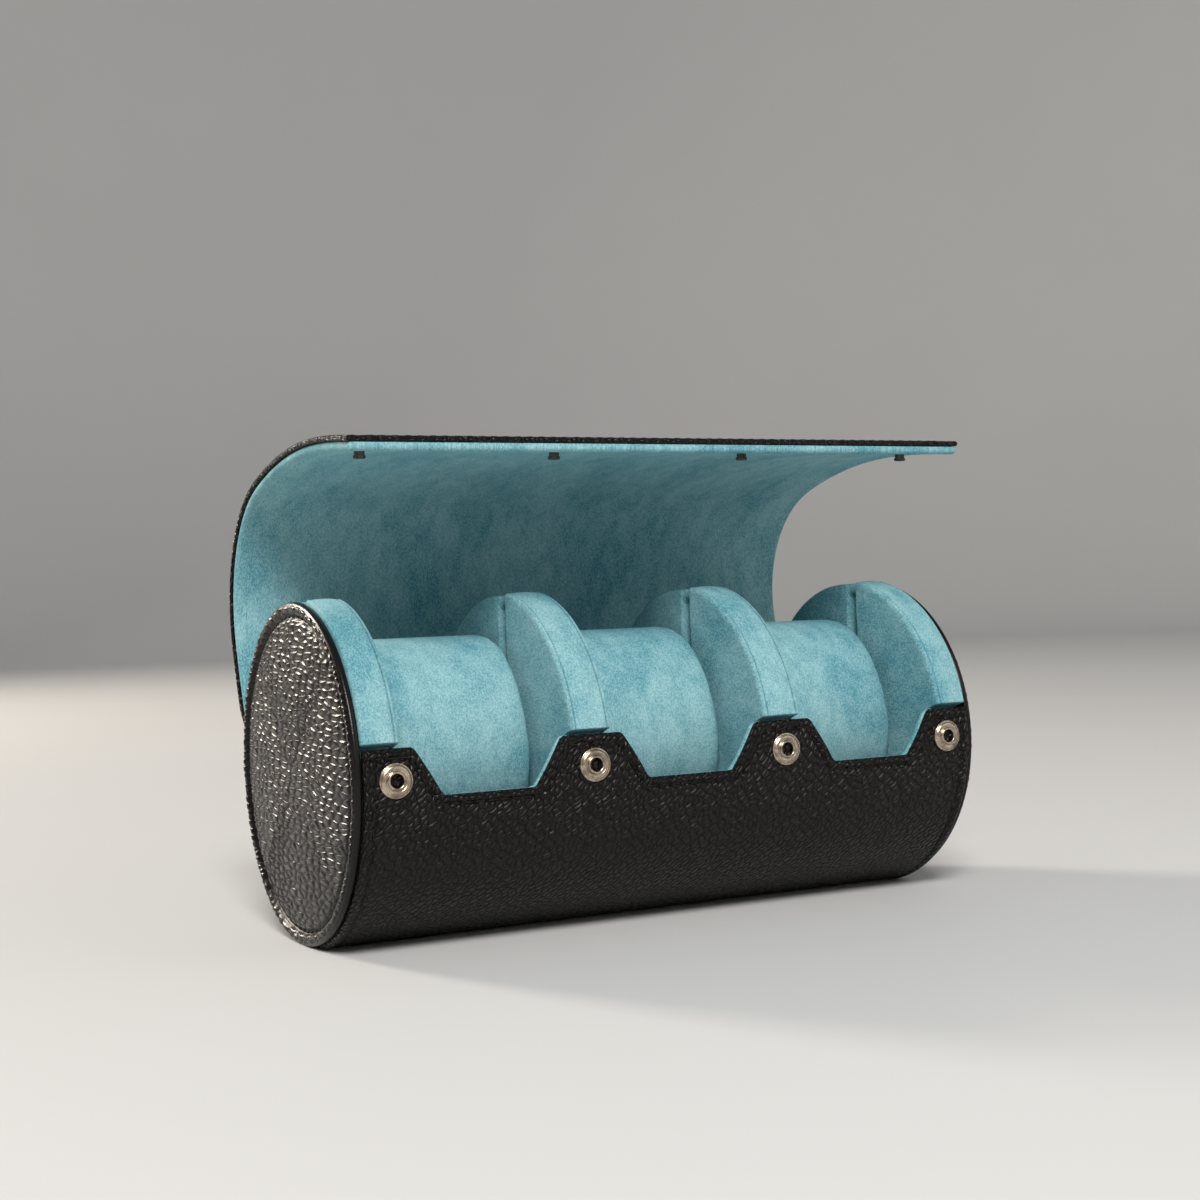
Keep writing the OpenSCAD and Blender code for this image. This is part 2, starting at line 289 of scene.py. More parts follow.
def closed_tube(name: str, points: Array, shade: Optional[Array] = None) -> bpy.types.Object:
    """Rings joined into a tube, with a middle point and a fan of triangles at each end.

    Each ring turns right-handed about the way back to the ring before it: its faces look outwards.

    Args:
        name: Name of the piece.
        points: Rings of vertices, shape (rings, points, 3).
        shade: Optional depth of shade, shape (rings, points).

    Returns:
        The closed piece.
    """
    rows, columns = points.shape[:2]
    ring = np.arange(columns)
    after, last, count = np.roll(ring, -1), (rows - 1) * columns, rows * columns
    fans = np.concatenate([
        np.stack([after, ring, np.full(columns, count)], axis=-1),
        np.stack([ring + last, after + last, np.full(columns, count + 1)], axis=-1)])
    middles = np.stack([points[0].mean(axis=0), points[-1].mean(axis=0)])
    if shade is not None:
        shade = np.concatenate([shade.reshape(-1), shade[0, :1], shade[-1, :1]])
    return add_mesh(name, np.concatenate([points.reshape(-1, 3), middles]),
                    grid_quads(rows, columns, wrap=True, flip=True), triangles=fans[:, ::-1],
                    shade=shade)


def thick_sheet(name: str, middle: Array, normal: Array, half: Array, uv: Array,
                bulge: tuple[float, float, float, float],
                shade: Optional[Array] = None) -> bpy.types.Object:
    """Closed sheet with rounded edges round a middle surface.

    The two faces are middle +- normal * half. Each border point carries a half ring
    middle + normal * half * cos(t) + outward * half * bulge * sin(t), for t from 0 to pi.

    Args:
        name: Name of the piece.
        middle: Middle surface on a grid, shape (u, v, 3).
        normal: Unit normals there, shape (u, v, 3).
        half: Half thickness, shape (u, v).
        uv: Pattern coordinates, shape (u, v, 2).
        bulge: Roundness of the borders at low u, high u, low v and high v. Zero is a flat cut.
        shade: Optional depth of shade on the grid, for the finish.

    Returns:
        The closed piece.
    """
    u, v = half.shape
    face = normal * half[..., None]
    outer, inner = (middle + face).reshape(-1, 3), (middle - face).reshape(-1, 3)
    loop = border_loop(u, v)
    push = border_push(middle, bulge)
    push = push / np.maximum(np.linalg.norm(push, axis=-1, keepdims=True), 1.0)
    turn = np.linspace(0.0, math.pi, EDGE_STEPS + 1)[1:-1, None, None]
    flat_middle, flat_face = middle.reshape(-1, 3)[loop], face.reshape(-1, 3)[loop]
    flat_push = (push * half[..., None]).reshape(-1, 3)[loop]
    ring = flat_middle + flat_face * np.cos(turn) + flat_push * np.sin(turn)
    count = u * v
    ring_index = 2 * count + np.arange(ring[..., 0].size).reshape(ring.shape[:2])
    strip = np.concatenate([loop[None], ring_index, loop[None] + count])
    quads = np.concatenate([grid_quads(u, v), grid_quads(u, v, start=count, flip=True),
                            quads_between(strip, wrap=True)])
    flat_uv = uv.reshape(-1, 2)
    away = border_push(uv, (1.0, 1.0, 1.0, 1.0))
    reach = half.reshape(-1)[loop][None, :, None] * (QUARTER - np.abs(turn - QUARTER))
    ring_uv = flat_uv[loop] + away.reshape(-1, 2)[loop] * reach
    all_uv = np.concatenate([flat_uv, flat_uv, ring_uv.reshape(-1, 2)])
    marks = None
    if shade is not None:
        flat_shade = shade.reshape(-1)
        marks = np.concatenate([flat_shade, flat_shade, np.tile(flat_shade[loop], len(ring))])
    points = np.concatenate([outer, inner, ring.reshape(-1, 3)])
    first = quads[0]
    facing = np.cross(points[first[1]] - points[first[0]], points[first[3]] - points[first[0]])
    if np.dot(facing, normal.reshape(-1, 3)[0]) < 0:
        quads = quads[:, ::-1]
    piece = add_mesh(name, points, quads, all_uv, shade=marks)
    piece.data.set_sharp_from_angle(angle=math.radians(SHARP_ANGLE))
    return piece


def turned(radius: Array, height: Array, steps: int) -> Array:
    """Points of a profile turned about Z: (r cos t, r sin t, h), shape (profile * steps, 3)."""
    turn = circle(steps)
    radius, height = radius[:, None], height[:, None]
    return ordered(radius * np.cos(turn), radius * np.sin(turn), height).reshape(-1, 3)


def revolve(name: str, radius: Array, height: Array, place: Matrix, steps: int) -> bpy.types.Object:
    """Surface of revolution about local Z, for a closed profile.

    Args:
        name: Name of the piece.
        radius: Profile radii, in order round the profile.
        height: Profile heights.
        place: Matrix in millimetres that stands the local frame on the case.
        steps: Number of steps round the axis.

    Returns:
        The closed piece.
    """
    quads = grid_quads(len(radius) + 1, steps, wrap=True, flip=True) % (len(radius) * steps)
    piece = add_mesh(name, turned(radius, height, steps), quads)
    piece.data.transform(scaled(place))
    return piece


def circle(steps: int) -> Array:
    """Angles of a whole turn in even steps, the first at zero and the last one step short."""
    return np.linspace(0.0, TURN, steps, endpoint=False)


def scaled(place: Matrix) -> Matrix:
    """The same placing with its shift turned from millimetres into metres."""
    moved = place.copy()
    moved.translation = place.translation * MM
    return moved


def join(name: str, pieces: list[bpy.types.Object]) -> bpy.types.Object:
    """Joins pieces into one object.

    Args:
        name: Name of the joined piece.
        pieces: The pieces, of which the first keeps its data.

    Returns:
        The joined piece.
    """
    with bpy.context.temp_override(active_object=pieces[0], selected_editable_objects=pieces):
        bpy.ops.object.join()
    pieces[0].name = name
    pieces[0].data.name = name
    return pieces[0]


def stitches(name: str, path: Array, normal: Array, sink: float,
             thread: float = THREAD_RADIUS) -> bpy.types.Object:
    """A row of sewn stitches: small capsules laid end to end along a path.

    With s from 0 to pi and t round the thread, a capsule is half the stitch's length times cos(s)^0.7
    along the path and the thread's radius times sin(s)^0.55 across it, so its ends are blunt. It is
    lowered by the cube of the share of its half length, so each end dives into the leather.

    Args:
        name: Name of the piece.
        path: Points along the seam, shape (n, 3).
        normal: Outward normals along the seam, shape (n, 3).
        sink: How far the thread's middle lies under the surface.
        thread: Radius of the thread.

    Returns:
        One object with every stitch of the row.
    """
    run = np.concatenate([[0.0], np.cumsum(np.linalg.norm(np.diff(path, axis=0), axis=1))])
    count = max(1, int(run[-1] // (STITCH_LENGTH + STITCH_GAP)))
    middle = (np.arange(count) + 0.5) * run[-1] / count

    def sample(values: Array, at: Array) -> Array:
        """Values along the path at given distances."""
        return np.stack([np.interp(at, run, values[:, k]) for k in range(3)], axis=-1)

    centre = sample(path, middle)
    out = unit(sample(normal, middle))
    along = unit(sample(path, middle + STITCH_AIM) - sample(path, middle - STITCH_AIM))
    across = unit(np.cross(out, along))
    ring = np.linspace(0.0, TURN, STITCH_SIDES + 1)[:-1]
    polar = np.linspace(0.0, math.pi, STITCH_RINGS)
    body_x = 0.5 * STITCH_LENGTH * np.sign(np.cos(polar)) * np.abs(np.cos(polar)) ** BLUNT_ALONG
    body_r = thread * np.sin(polar) ** BLUNT_ACROSS
    body_r[0] = body_r[-1] = STITCH_TIP
    dive = -STITCH_DIVE * thread * (2.0 * np.abs(body_x) / STITCH_LENGTH) ** 3
    shape_x = np.broadcast_to(body_x[:, None], (STITCH_RINGS, STITCH_SIDES))
    shape_y = body_r[:, None] * np.cos(ring)
    shape_z = body_r[:, None] * np.sin(ring) + dive[:, None] - sink
    points = (centre[:, None, None] + shape_x[None, ..., None] * along[:, None, None]
              + shape_y[None, ..., None] * across[:, None, None]
              + shape_z[None, ..., None] * out[:, None, None])
    each = STITCH_RINGS * STITCH_SIDES
    starts = each * np.arange(count)[:, None, None]
    quads = grid_quads(STITCH_RINGS, STITCH_SIDES, wrap=True, flip=True)
    corner = np.arange(1, STITCH_SIDES - 1)
    cap = np.stack([corner, corner + 1, np.zeros_like(corner)], axis=-1)
    caps = np.concatenate([cap, each - STITCH_SIDES + cap[:, ::-1]])
    return add_mesh(name, points.reshape(-1, 3), (quads + starts).reshape(-1, 4),
                    np.zeros((each * count, 2)), (caps + starts).reshape(-1, 3))


# ------------------------------
# Finishes
# ------------------------------


class NodeSheet:
    """A material's node tree with short calls for the nodes that the finishes use."""

    def __init__(self, name: str) -> None:
        """Starts a material with a Principled shader.

        Args:
            name: Name of the material.
        """
        self.material = bpy.data.materials.new(name)
        self.material.use_nodes = True
        self.tree = self.material.node_tree
        self.shader = self.tree.nodes["Principled BSDF"]

    def feed(self, target: bpy.types.NodeSocket, value: object) -> None:
        """Feeds a socket.

        Args:
            target: The socket.
            value: Another socket to link to it, or a plain value to set it to.
        """
        if isinstance(value, bpy.types.NodeSocket):
            self.tree.links.new(value, target)
        else:
            target.default_value = value

    def set(self, **values: object) -> None:
        """Feeds the shader's sockets, named with underscores for spaces."""
        for key, value in values.items():
            self.feed(self.shader.inputs[key.replace("_", " ")], value)

    def node(self, kind: str, inputs: Optional[dict] = None, **settings: object) -> bpy.types.Node:
        """Adds a node.

        Args:
            kind: Blender's node type.
            inputs: Input names or numbers with a value or a socket to link.
            settings: Properties of the node.

        Returns:
            The node.
        """
        node = self.tree.nodes.new(kind)
        for key, value in settings.items():
            setattr(node, key, value)
        for key, value in (inputs or {}).items():
            self.feed(node.inputs[key], value)
        return node

    def place(self, space: PatternSpace) -> bpy.types.NodeSocket:
        """The coordinates of the pattern, in metres."""
        coordinates = self.node("ShaderNodeTexCoord")
        return coordinates.outputs["UV" if space is PatternSpace.UV else "Object"]

    def mark(self, label: str) -> bpy.types.NodeSocket:
        """A value that the mesh carries at each vertex."""
        return self.node("ShaderNodeAttribute", attribute_name=label).outputs["Fac"]

    def noise(self, place: bpy.types.NodeSocket, scale: float, detail: float = 3.0,
              rough: float = 0.55) -> bpy.types.NodeSocket:
        """Noise value with a scale in cells per metre."""
        node = self.node("ShaderNodeTexNoise", {"Vector": place, "Scale": scale, "Detail": detail,
                                                "Roughness": rough})
        return node.outputs["Fac"]

    def math(self, operation: str, a: object, b: object = 0.0) -> bpy.types.NodeSocket:
        """One step of arithmetic on two values or sockets."""
        return self.node("ShaderNodeMath", {0: a, 1: b}, operation=operation).outputs[0]

    def remap(self, value: bpy.types.NodeSocket, low: float, high: float, to_low: float = 0.0,
              to_high: float = 1.0) -> bpy.types.NodeSocket:
        """A value mapped smoothly from one range to another.

        Args:
            value: The value.
            low: Start of its range.
            high: End of its range.
            to_low: What the start becomes.
            to_high: What the end becomes.

        Returns:
            to_low + (to_high - to_low) * t * t * (3 - 2 t), with t the share of the range.
        """
        node = self.node("ShaderNodeMapRange", {"Value": value, "From Min": low, "From Max": high,
                                                "To Min": to_low, "To Max": to_high},
                         interpolation_type="SMOOTHSTEP")
        return node.outputs["Result"]

    def blend(self, factor: object, a: object, b: object) -> bpy.types.NodeSocket:
        """Two colours mixed by a factor; the Mix node's colours are its sockets 6, 7 and, out, 2."""
        return self.node("ShaderNodeMix", {0: factor, 6: a, 7: b}, data_type="RGBA").outputs[2]

    def bump(self, height: bpy.types.NodeSocket, distance: float, strength: float = 1.0,
             below: Optional[bpy.types.NodeSocket] = None) -> bpy.types.NodeSocket:
        """A bump in the surface.

        Args:
            height: Height, 0 to 1.
            distance: What a height of one is in metres.
            strength: Strength of the bump.
            below: Optional bump that this one lies on.

        Returns:
            The bumped normal.
        """
        inputs = {"Height": height, "Distance": distance, "Strength": strength}
        if below is not None:
            inputs["Normal"] = below
        return self.node("ShaderNodeBump", inputs).outputs["Normal"]


@dataclass(frozen=True)
class PebbledLeather:
    """Grained calf leather: rounded pebbles between creases, duller in the creases and darker there
    by painted shade.

    Scales are in cells per metre, depths and reaches in metres and the slant in radians.
    creasing_depth is a share of grain_depth.
    """

    name: str = "pebbled_leather"
    modelled: bool = False
    # The crease colour is painted shade, laid in the creases and in the stitched furrows.
    crease: tuple = (0.0014, 0.0011, 0.0010, 1.0)
    pebble: tuple = (0.0062, 0.0049, 0.0042, 1.0)
    # Colour of the pebble tops: partly real wear, partly a painted highlight.
    wear_and_highlight: tuple = (0.0220, 0.0165, 0.0125, 1.0)
    crease_rough: float = 0.50
    pebble_rough: float = 0.31
    patch_rough: float = 0.05
    shine: float = 0.22
    grain_scale: float = 560.0
    grain_depth: float = 0.00052
    grain_flank: float = 0.85
    grain_slant: float = 0.9
    grain_stretch: tuple = (1.35, 0.85, 1.0)
    wander_scale: float = 300.0
    wander_reach: float = 0.0011
    swell_scale: float = 300.0
    patch_scale: float = 38.0
    pore_scale: float = 5200.0
    pore_share: float = 0.03
    creasing_scale: float = 2400.0
    creasing_depth: float = 0.12
    # Shares of the tops' wear with painted highlight, and of the seams' painted shade.
    wear_and_highlight_share: float = 0.5
    painted_shade_share: float = 0.8

    def make(self) -> bpy.types.Material:
        """Builds the material.

        Its colour goes from painted crease shade to pebble with the pebbles' height, towards wear and
        a painted highlight on the tops in slow patches, and back to painted shade in the seams.
        Creases are rougher than pebbles.

        Returns:
            The leather, patterned on the piece's UV map.
        """
        sheet = NodeSheet(self.name)
        uv = sheet.place(PatternSpace.UV)
        height = sheet.mark("grain") if self.modelled else self.drawn(sheet, uv)
        patch = sheet.remap(sheet.noise(uv, self.patch_scale, 3.0), 0.35, 0.7)
        # Painted shade: the colour falls to the crease colour where the pebbles are low.
        tone = sheet.blend(sheet.remap(height, 0.15, 0.8), self.crease, self.pebble)
        # Wear and painted highlight: the pebble tops lighten in slow patches.
        top = sheet.remap(height, 0.75, 1.15)
        wear_and_highlight_mask = sheet.math("MULTIPLY", top, sheet.math("ADD", patch, 0.25))
        tone = sheet.blend(sheet.math("MULTIPLY", wear_and_highlight_mask, self.wear_and_highlight_share), tone, self.wear_and_highlight)
        # Painted shade: the stitched furrows, marked with shade, go back to the crease colour.
        seam = sheet.math("MULTIPLY", sheet.mark("shade"), self.painted_shade_share)
        tone = sheet.blend(seam, tone, self.crease)
        rough = sheet.remap(height, 0.1, 0.7, self.crease_rough, self.pebble_rough)
        gloss = sheet.math("ADD", rough, sheet.math("MULTIPLY", patch, self.patch_rough))
        if self.modelled:
            creasing = sheet.noise(uv, self.creasing_scale, 2.0)
            normal = sheet.bump(creasing, self.grain_depth * self.creasing_depth)
        else:
            normal = sheet.bump(height, self.grain_depth)
        sheet.set(Base_Color=tone, Roughness=gloss, Normal=normal, Specular_IOR_Level=self.shine)
        return sheet.material

    def drawn(self, sheet: NodeSheet, uv: bpy.types.NodeSocket) -> bpy.types.NodeSocket:
        """The pebble height drawn by the material, for pieces whose pebbles are a bump.

        With t the gap between the distances to the nearest and second nearest pebble middle, over
        grain_flank and clipped to 0..1, a pebble's height is 1 - (1 - t)^2, times a slow swell, plus
        fine pores. Pebbles are longer along a slant, and their lines wander.

        Args:
            sheet: The material's nodes.
            uv: The piece's UV map in metres.

        Returns:
            The height, 0 in a crease and about 1 on top.
        """
        wander = sheet.node("ShaderNodeTexNoise",
                            {"Vector": uv, "Scale": self.wander_scale, "Detail": 2.0})
        shift = sheet.node("ShaderNodeVectorMath", {0: wander.outputs["Color"], 1: (0.5, 0.5, 0.5)},
                           operation="SUBTRACT")
        shift = sheet.node("ShaderNodeVectorMath",
                           {0: shift.outputs[0], "Scale": self.wander_reach}, operation="SCALE")
        moved = sheet.node("ShaderNodeVectorMath", {0: uv, 1: shift.outputs[0]}, operation="ADD")
        slant = {"Vector": moved.outputs[0], "Rotation": (0.0, 0.0, self.grain_slant),
                 "Scale": self.grain_stretch}
        turned = sheet.node("ShaderNodeMapping", slant, vector_type="TEXTURE")
        cell = {"Vector": turned.outputs[0], "Scale": self.grain_scale, "Randomness": 0.8}
        first, second = (
            sheet.node("ShaderNodeTexVoronoi", cell, voronoi_dimensions="2D", feature=feature)
            for feature in ("F1", "F2"))
        gap = sheet.math("SUBTRACT", second.outputs["Distance"], first.outputs["Distance"])
        t = sheet.math("MINIMUM", sheet.math("DIVIDE", gap, self.grain_flank), 1.0)
        short = sheet.math("SUBTRACT", 1.0, t)
        rise = sheet.math("SUBTRACT", 1.0, sheet.math("MULTIPLY", short, short))
        swell = sheet.noise(turned.outputs[0], self.swell_scale, 2.0)
        pores = sheet.noise(uv, self.pore_scale, 1.0)
        height = sheet.math("MULTIPLY", rise, sheet.remap(swell, 0.3, 0.7, 0.8, 1.15))
        return sheet.math("ADD", height, sheet.math("MULTIPLY", pores, self.pore_share))


@dataclass(frozen=True)
class BrushedSuede:
    """Turquoise microsuede: short nap brushed two ways, darker in its seams and tucks by painted
    shade.
    """

    name: str
    space: PatternSpace
    light: tuple = (0.345, 0.575, 0.605, 1.0)
    deep: tuple = (0.070, 0.255, 0.320, 1.0)
    # The seam colour is painted shade, for the seams, tucks and gaps that the mesh marks with shade.
    seam: tuple = (0.030, 0.125, 0.160, 1.0)
    glow: tuple = (0.42, 0.84, 0.94, 1.0)
    brush_turn: tuple = (0.3, 0.2, 0.9)
    brush_stretch: tuple = (1.0, 0.5, 0.75)
    cloud_scale: float = 48.0
    cloud_share: float = 0.34
    stroke_scale: float = 230.0
    stroke_share: float = 0.20
    nap_scale: float = 2600.0
    nap_share: float = 0.55
    nap_depth: float = 0.0003
    fibre_scale: float = 3600.0
    fibre_depth: float = 0.00008
    painted_shade_share: float = 0.85

    def make(self) -> bpy.types.Material:
        """Builds the material.

        Its colour goes from light to deep with the sum of large clouds, brush strokes and the nap,
        each times its share, and towards a painted shade colour where the mesh is marked with shade.
        Scales are in cells per metre and depths in metres.

        Returns:
            The suede.
        """
        sheet = NodeSheet(self.name)
        brushed = sheet.node("ShaderNodeMapping", {
            "Vector": sheet.place(self.space), "Rotation": self.brush_turn,
            "Scale": self.brush_stretch}).outputs[0]
        cloud = sheet.noise(brushed, self.cloud_scale, 4.0, 0.6)
        stroke = sheet.noise(brushed, self.stroke_scale, 3.0, 0.6)
        nap = sheet.noise(brushed, self.nap_scale, 2.0, 0.7)
        fibre = sheet.noise(brushed, self.fibre_scale, 1.0, 0.5)
        mix = sheet.math("ADD", sheet.remap(cloud, 0.38, 0.66, 0.0, self.cloud_share),
                         sheet.remap(stroke, 0.38, 0.62, 0.0, self.stroke_share))
        mix = sheet.math("ADD", mix, sheet.remap(nap, 0.36, 0.64, 0.0, self.nap_share))
        tone = sheet.blend(mix, self.light, self.deep)
        # Painted shade: where the mesh is marked with shade, the colour goes to the seam colour.
        seam = sheet.math("MULTIPLY", sheet.mark("shade"), self.painted_shade_share)
        tone = sheet.blend(seam, tone, self.seam)
        low = sheet.bump(nap, self.nap_depth, 0.9)
        sheet.set(Base_Color=tone, Normal=sheet.bump(fibre, self.fibre_depth, 0.8, low),
                  Roughness=0.95, Specular_IOR_Level=0.12, Sheen_Weight=0.28, Sheen_Roughness=0.35,
                  Sheen_Tint=self.glow)
        return sheet.material


@dataclass(frozen=True)
class Thread:
    """Sewing thread with the fine mottle of its twist."""

    name: str
    colour: tuple
    shade: tuple
    twist_scale: float = 2600.0
    twist_depth: float = 0.00008

    def make(self) -> bpy.types.Material:
        """Builds the material.

        Returns:
            The thread.
        """
        sheet = NodeSheet(self.name)
        twist = sheet.noise(sheet.place(PatternSpace.OBJECT), self.twist_scale, 2.0)
        tone = sheet.blend(sheet.remap(twist, 0.35, 0.65), self.colour, self.shade)
        sheet.set(Base_Color=tone, Normal=sheet.bump(twist, self.twist_depth, 0.8), Roughness=0.7,
                  Specular_IOR_Level=0.2)
        return sheet.material


@dataclass(frozen=True)
class PlatedMetal:
    """Plated fastener metal with a faint tarnish and fine scratches."""

    name: str
    colour: tuple
    tarnish: tuple
    rough: float
    stain_scale: float = 420.0
    stain_rough: float = 0.16
    scratch_scale: float = 3800.0
    scratch_depth: float = 0.00003

    def make(self) -> bpy.types.Material:
        """Builds the material.

        Returns:
            The metal.
        """
        sheet = NodeSheet(self.name)
        place = sheet.place(PatternSpace.OBJECT)
        stain = sheet.noise(place, self.stain_scale, 4.0, 0.6)
        scratch = sheet.noise(place, self.scratch_scale, 2.0)
        tone = sheet.blend(sheet.remap(stain, 0.4, 0.7), self.colour, self.tarnish)
        gloss = sheet.math("ADD", self.rough, sheet.math("MULTIPLY", stain, self.stain_rough))
        sheet.set(Base_Color=tone, Roughness=gloss,
                  Normal=sheet.bump(scratch, self.scratch_depth, 0.5), Metallic=1.0)
        return sheet.material


@dataclass(frozen=True)
class PlainBoard:
    """Pressed fibre board, seen only where a cover lets it show."""

    name: str
    colour: tuple
    shade: tuple
    speck_scale: float = 900.0
    speck_depth: float = 0.0001

    def make(self) -> bpy.types.Material:
        """Builds the material.

        Returns:
            The board.
        """
        sheet = NodeSheet(self.name)
        speck = sheet.noise(sheet.place(PatternSpace.OBJECT), self.speck_scale, 3.0)
        sheet.set(Base_Color=sheet.blend(speck, self.colour, self.shade),
                  Normal=sheet.bump(speck, self.speck_depth, 0.5), Roughness=0.9)
        return sheet.material


@dataclass
class Finishes:
    """Every finish of the case, built once."""

    leather: bpy.types.Material
    disc_leather: bpy.types.Material
    suede: bpy.types.Material
    suede_sheet: bpy.types.Material
    dark_thread: bpy.types.Material
    turquoise_thread: bpy.types.Material
    nickel: bpy.types.Material
    gunmetal: bpy.types.Material
    board: bpy.types.Material

    @classmethod
    def build(cls) -> "Finishes":
        """Builds every material.

        Returns:
            The finishes.
        """
        return cls(
            leather=PebbledLeather().make(),
            disc_leather=PebbledLeather("disc_leather", modelled=True, crease_rough=0.40,
                                        pebble_rough=0.21, shine=0.26).make(),
            suede=BrushedSuede("suede", PatternSpace.OBJECT).make(),
            suede_sheet=BrushedSuede("suede_sheet", PatternSpace.UV).make(),
            dark_thread=Thread("dark_thread", (0.012, 0.009, 0.008, 1.0),
                               (0.005, 0.004, 0.004, 1.0)).make(),
            turquoise_thread=Thread("turquoise_thread", (0.13, 0.36, 0.41, 1.0),
                                    (0.08, 0.26, 0.31, 1.0)).make(),
            nickel=PlatedMetal("nickel", (0.50, 0.41, 0.32, 1.0), (0.19, 0.148, 0.115, 1.0),
                               rough=0.2).make(),
            gunmetal=PlatedMetal("gunmetal", (0.10, 0.095, 0.09, 1.0), (0.05, 0.045, 0.04, 1.0),
                                 rough=0.34).make(),
            board=PlainBoard("board", (0.045, 0.036, 0.030, 1.0),
                             (0.025, 0.020, 0.017, 1.0)).make(),
        )


def dress(piece: bpy.types.Object, finish: bpy.types.Material) -> bpy.types.Object:
    """Gives a piece one finish in all its slots.

    Args:
        piece: The piece.
        finish: The material.

    Returns:
        The same piece.
    """
    if not piece.data.materials:
        piece.data.materials.append(finish)
    for slot in piece.material_slots:
        slot.link = "OBJECT"
        slot.material = finish
    return piece


# ------------------------------
# The case
# ------------------------------


@dataclass(frozen=True)
class CaseSizes:
    """Driving sizes of the case, the same as the solids have."""

    shell_radius: float = 48.0
    shell_half: float = 96.1
    axis_height: float = 46.8
    leather: float = 1.6
    board: float = 0.6
    lining: float = 1.8
    tooth_top: float = 9.2
    notch_bottom: float = -3.6
    outer_tooth_in: float = 82.1
    inner_tooth_out: float = 39.583
    inner_tooth_in: float = 21.483
    notch_slope: float = 7.9
    back_angle: float = 14.0
    fold_angle: float = 3.0
    disc_radius: float = 47.0
    disc_proud: float = 2.2
    divider_middle: float = 30.533
    divider_width: float = 12.2
    wall_face: float = 85.5
    snap_outer: float = 87.6
    snap_inner: float = 30.533
    seam: float = 2.7

    @property
    def bay_radius(self) -> float:
        """Radius of the suede lining's face inside the shell."""
        return self.shell_radius - self.leather - self.board - self.lining

    @property
    def snaps(self) -> tuple[float, ...]:
        """X places of the four snaps."""
        return (-self.snap_outer, -self.snap_inner, self.snap_inner, self.snap_outer)


CASE = CaseSizes()
CORNER_SAMPLES = 15


def corner_round(x: Array, breaks: list[float], heights: list[float], radius: float) -> Array:
    """Height of the toothed edge at x, with its corners eased.

    The edge is piecewise linear through (breaks, heights); averaging it over a window of +-radius
    turns each corner into a parabola.

    Args:
        x: Places along the case.
        breaks: X of each corner.
        heights: Height of each corner.
        radius: Half width of the easing window.

    Returns:
        Heights above the case axis.
    """
    offsets = np.linspace(-radius, radius, CORNER_SAMPLES)
    return np.interp(x[..., None] + offsets, breaks, heights).mean(axis=-1)


@dataclass
class ToothedEdge:
    """The front edge of the shell, a low wall with four raised teeth."""

    sizes: CaseSizes = CASE
    ease: float = 0.6
    run_on: float = 5.0
    seam_points: int = 900

    def corners(self, inset: float = 0.0) -> tuple[list[float], list[float]]:
        """Corners of the edge, or of a line that runs inside it at a steady distance.

        With slope, rise and slant the width, height and length of a tooth's leaning side, the line
        at a distance d lies d lower, and its corners move d (slant - slope) / rise into the tooth.

        Args:
            inset: Distance of the line from the edge.

        Returns:
            X places and heights above the axis, from left to right.
        """
        s = self.sizes
        rise = s.tooth_top - s.notch_bottom
        shift = inset * (math.hypot(s.notch_slope, rise) - s.notch_slope) / rise
        top, low = s.tooth_top - inset, s.notch_bottom - inset
        outer, inner_out, inner_in = s.outer_tooth_in, s.inner_tooth_out, s.inner_tooth_in
        right = [
            (0.0, low),
            (inner_in - s.notch_slope + shift, low),
            (inner_in + shift, top),
            (inner_out - shift, top),
            (inner_out + s.notch_slope - shift, low),
            (outer - s.notch_slope + shift, low),
            (outer + shift, top),
            (s.shell_half + self.run_on, top),
        ]
        points = [(-x, z) for x, z in reversed(right)] + right[1:]
        return [p[0] for p in points], [p[1] for p in points]

    def height(self, x: Array) -> Array:
        """Height of the edge above the axis at x, its corners eased."""
        return corner_round(x, *self.corners(), self.ease)

    def seam_path(self, inset: float) -> tuple[Array, Array]:
        """Points and normals of the stitch line inside the edge, on the leather's face.

        The line keeps its corners, and its points are spaced evenly along it.

        Args:
            inset: Distance of the line from the edge.

        Returns:
            Points in millimetres and unit normals.
        """
        breaks, heights = self.corners(inset)
        limit = self.sizes.shell_half - self.sizes.seam
        inside = [(b, h) for b, h in zip(breaks, heights) if abs(b) < limit]
        xs = np.array([-limit] + [p[0] for p in inside] + [limit])
        zs = np.array([heights[0]] + [p[1] for p in inside] + [heights[-1]])
        run = np.concatenate([[0.0], np.cumsum(np.hypot(np.diff(xs), np.diff(zs)))])
        at = np.linspace(0.0, run[-1], self.seam_points)
        x, arc = np.interp(at, run, xs), np.interp(at, run, zs)
        angle = math.pi - np.arcsin(arc / self.sizes.shell_radius)
        y, z = around(np.full_like(angle, self.sizes.shell_radius), angle)
        normal = ordered(np.zeros_like(x), np.cos(angle), np.sin(angle))
        return ordered(x, y, z), normal


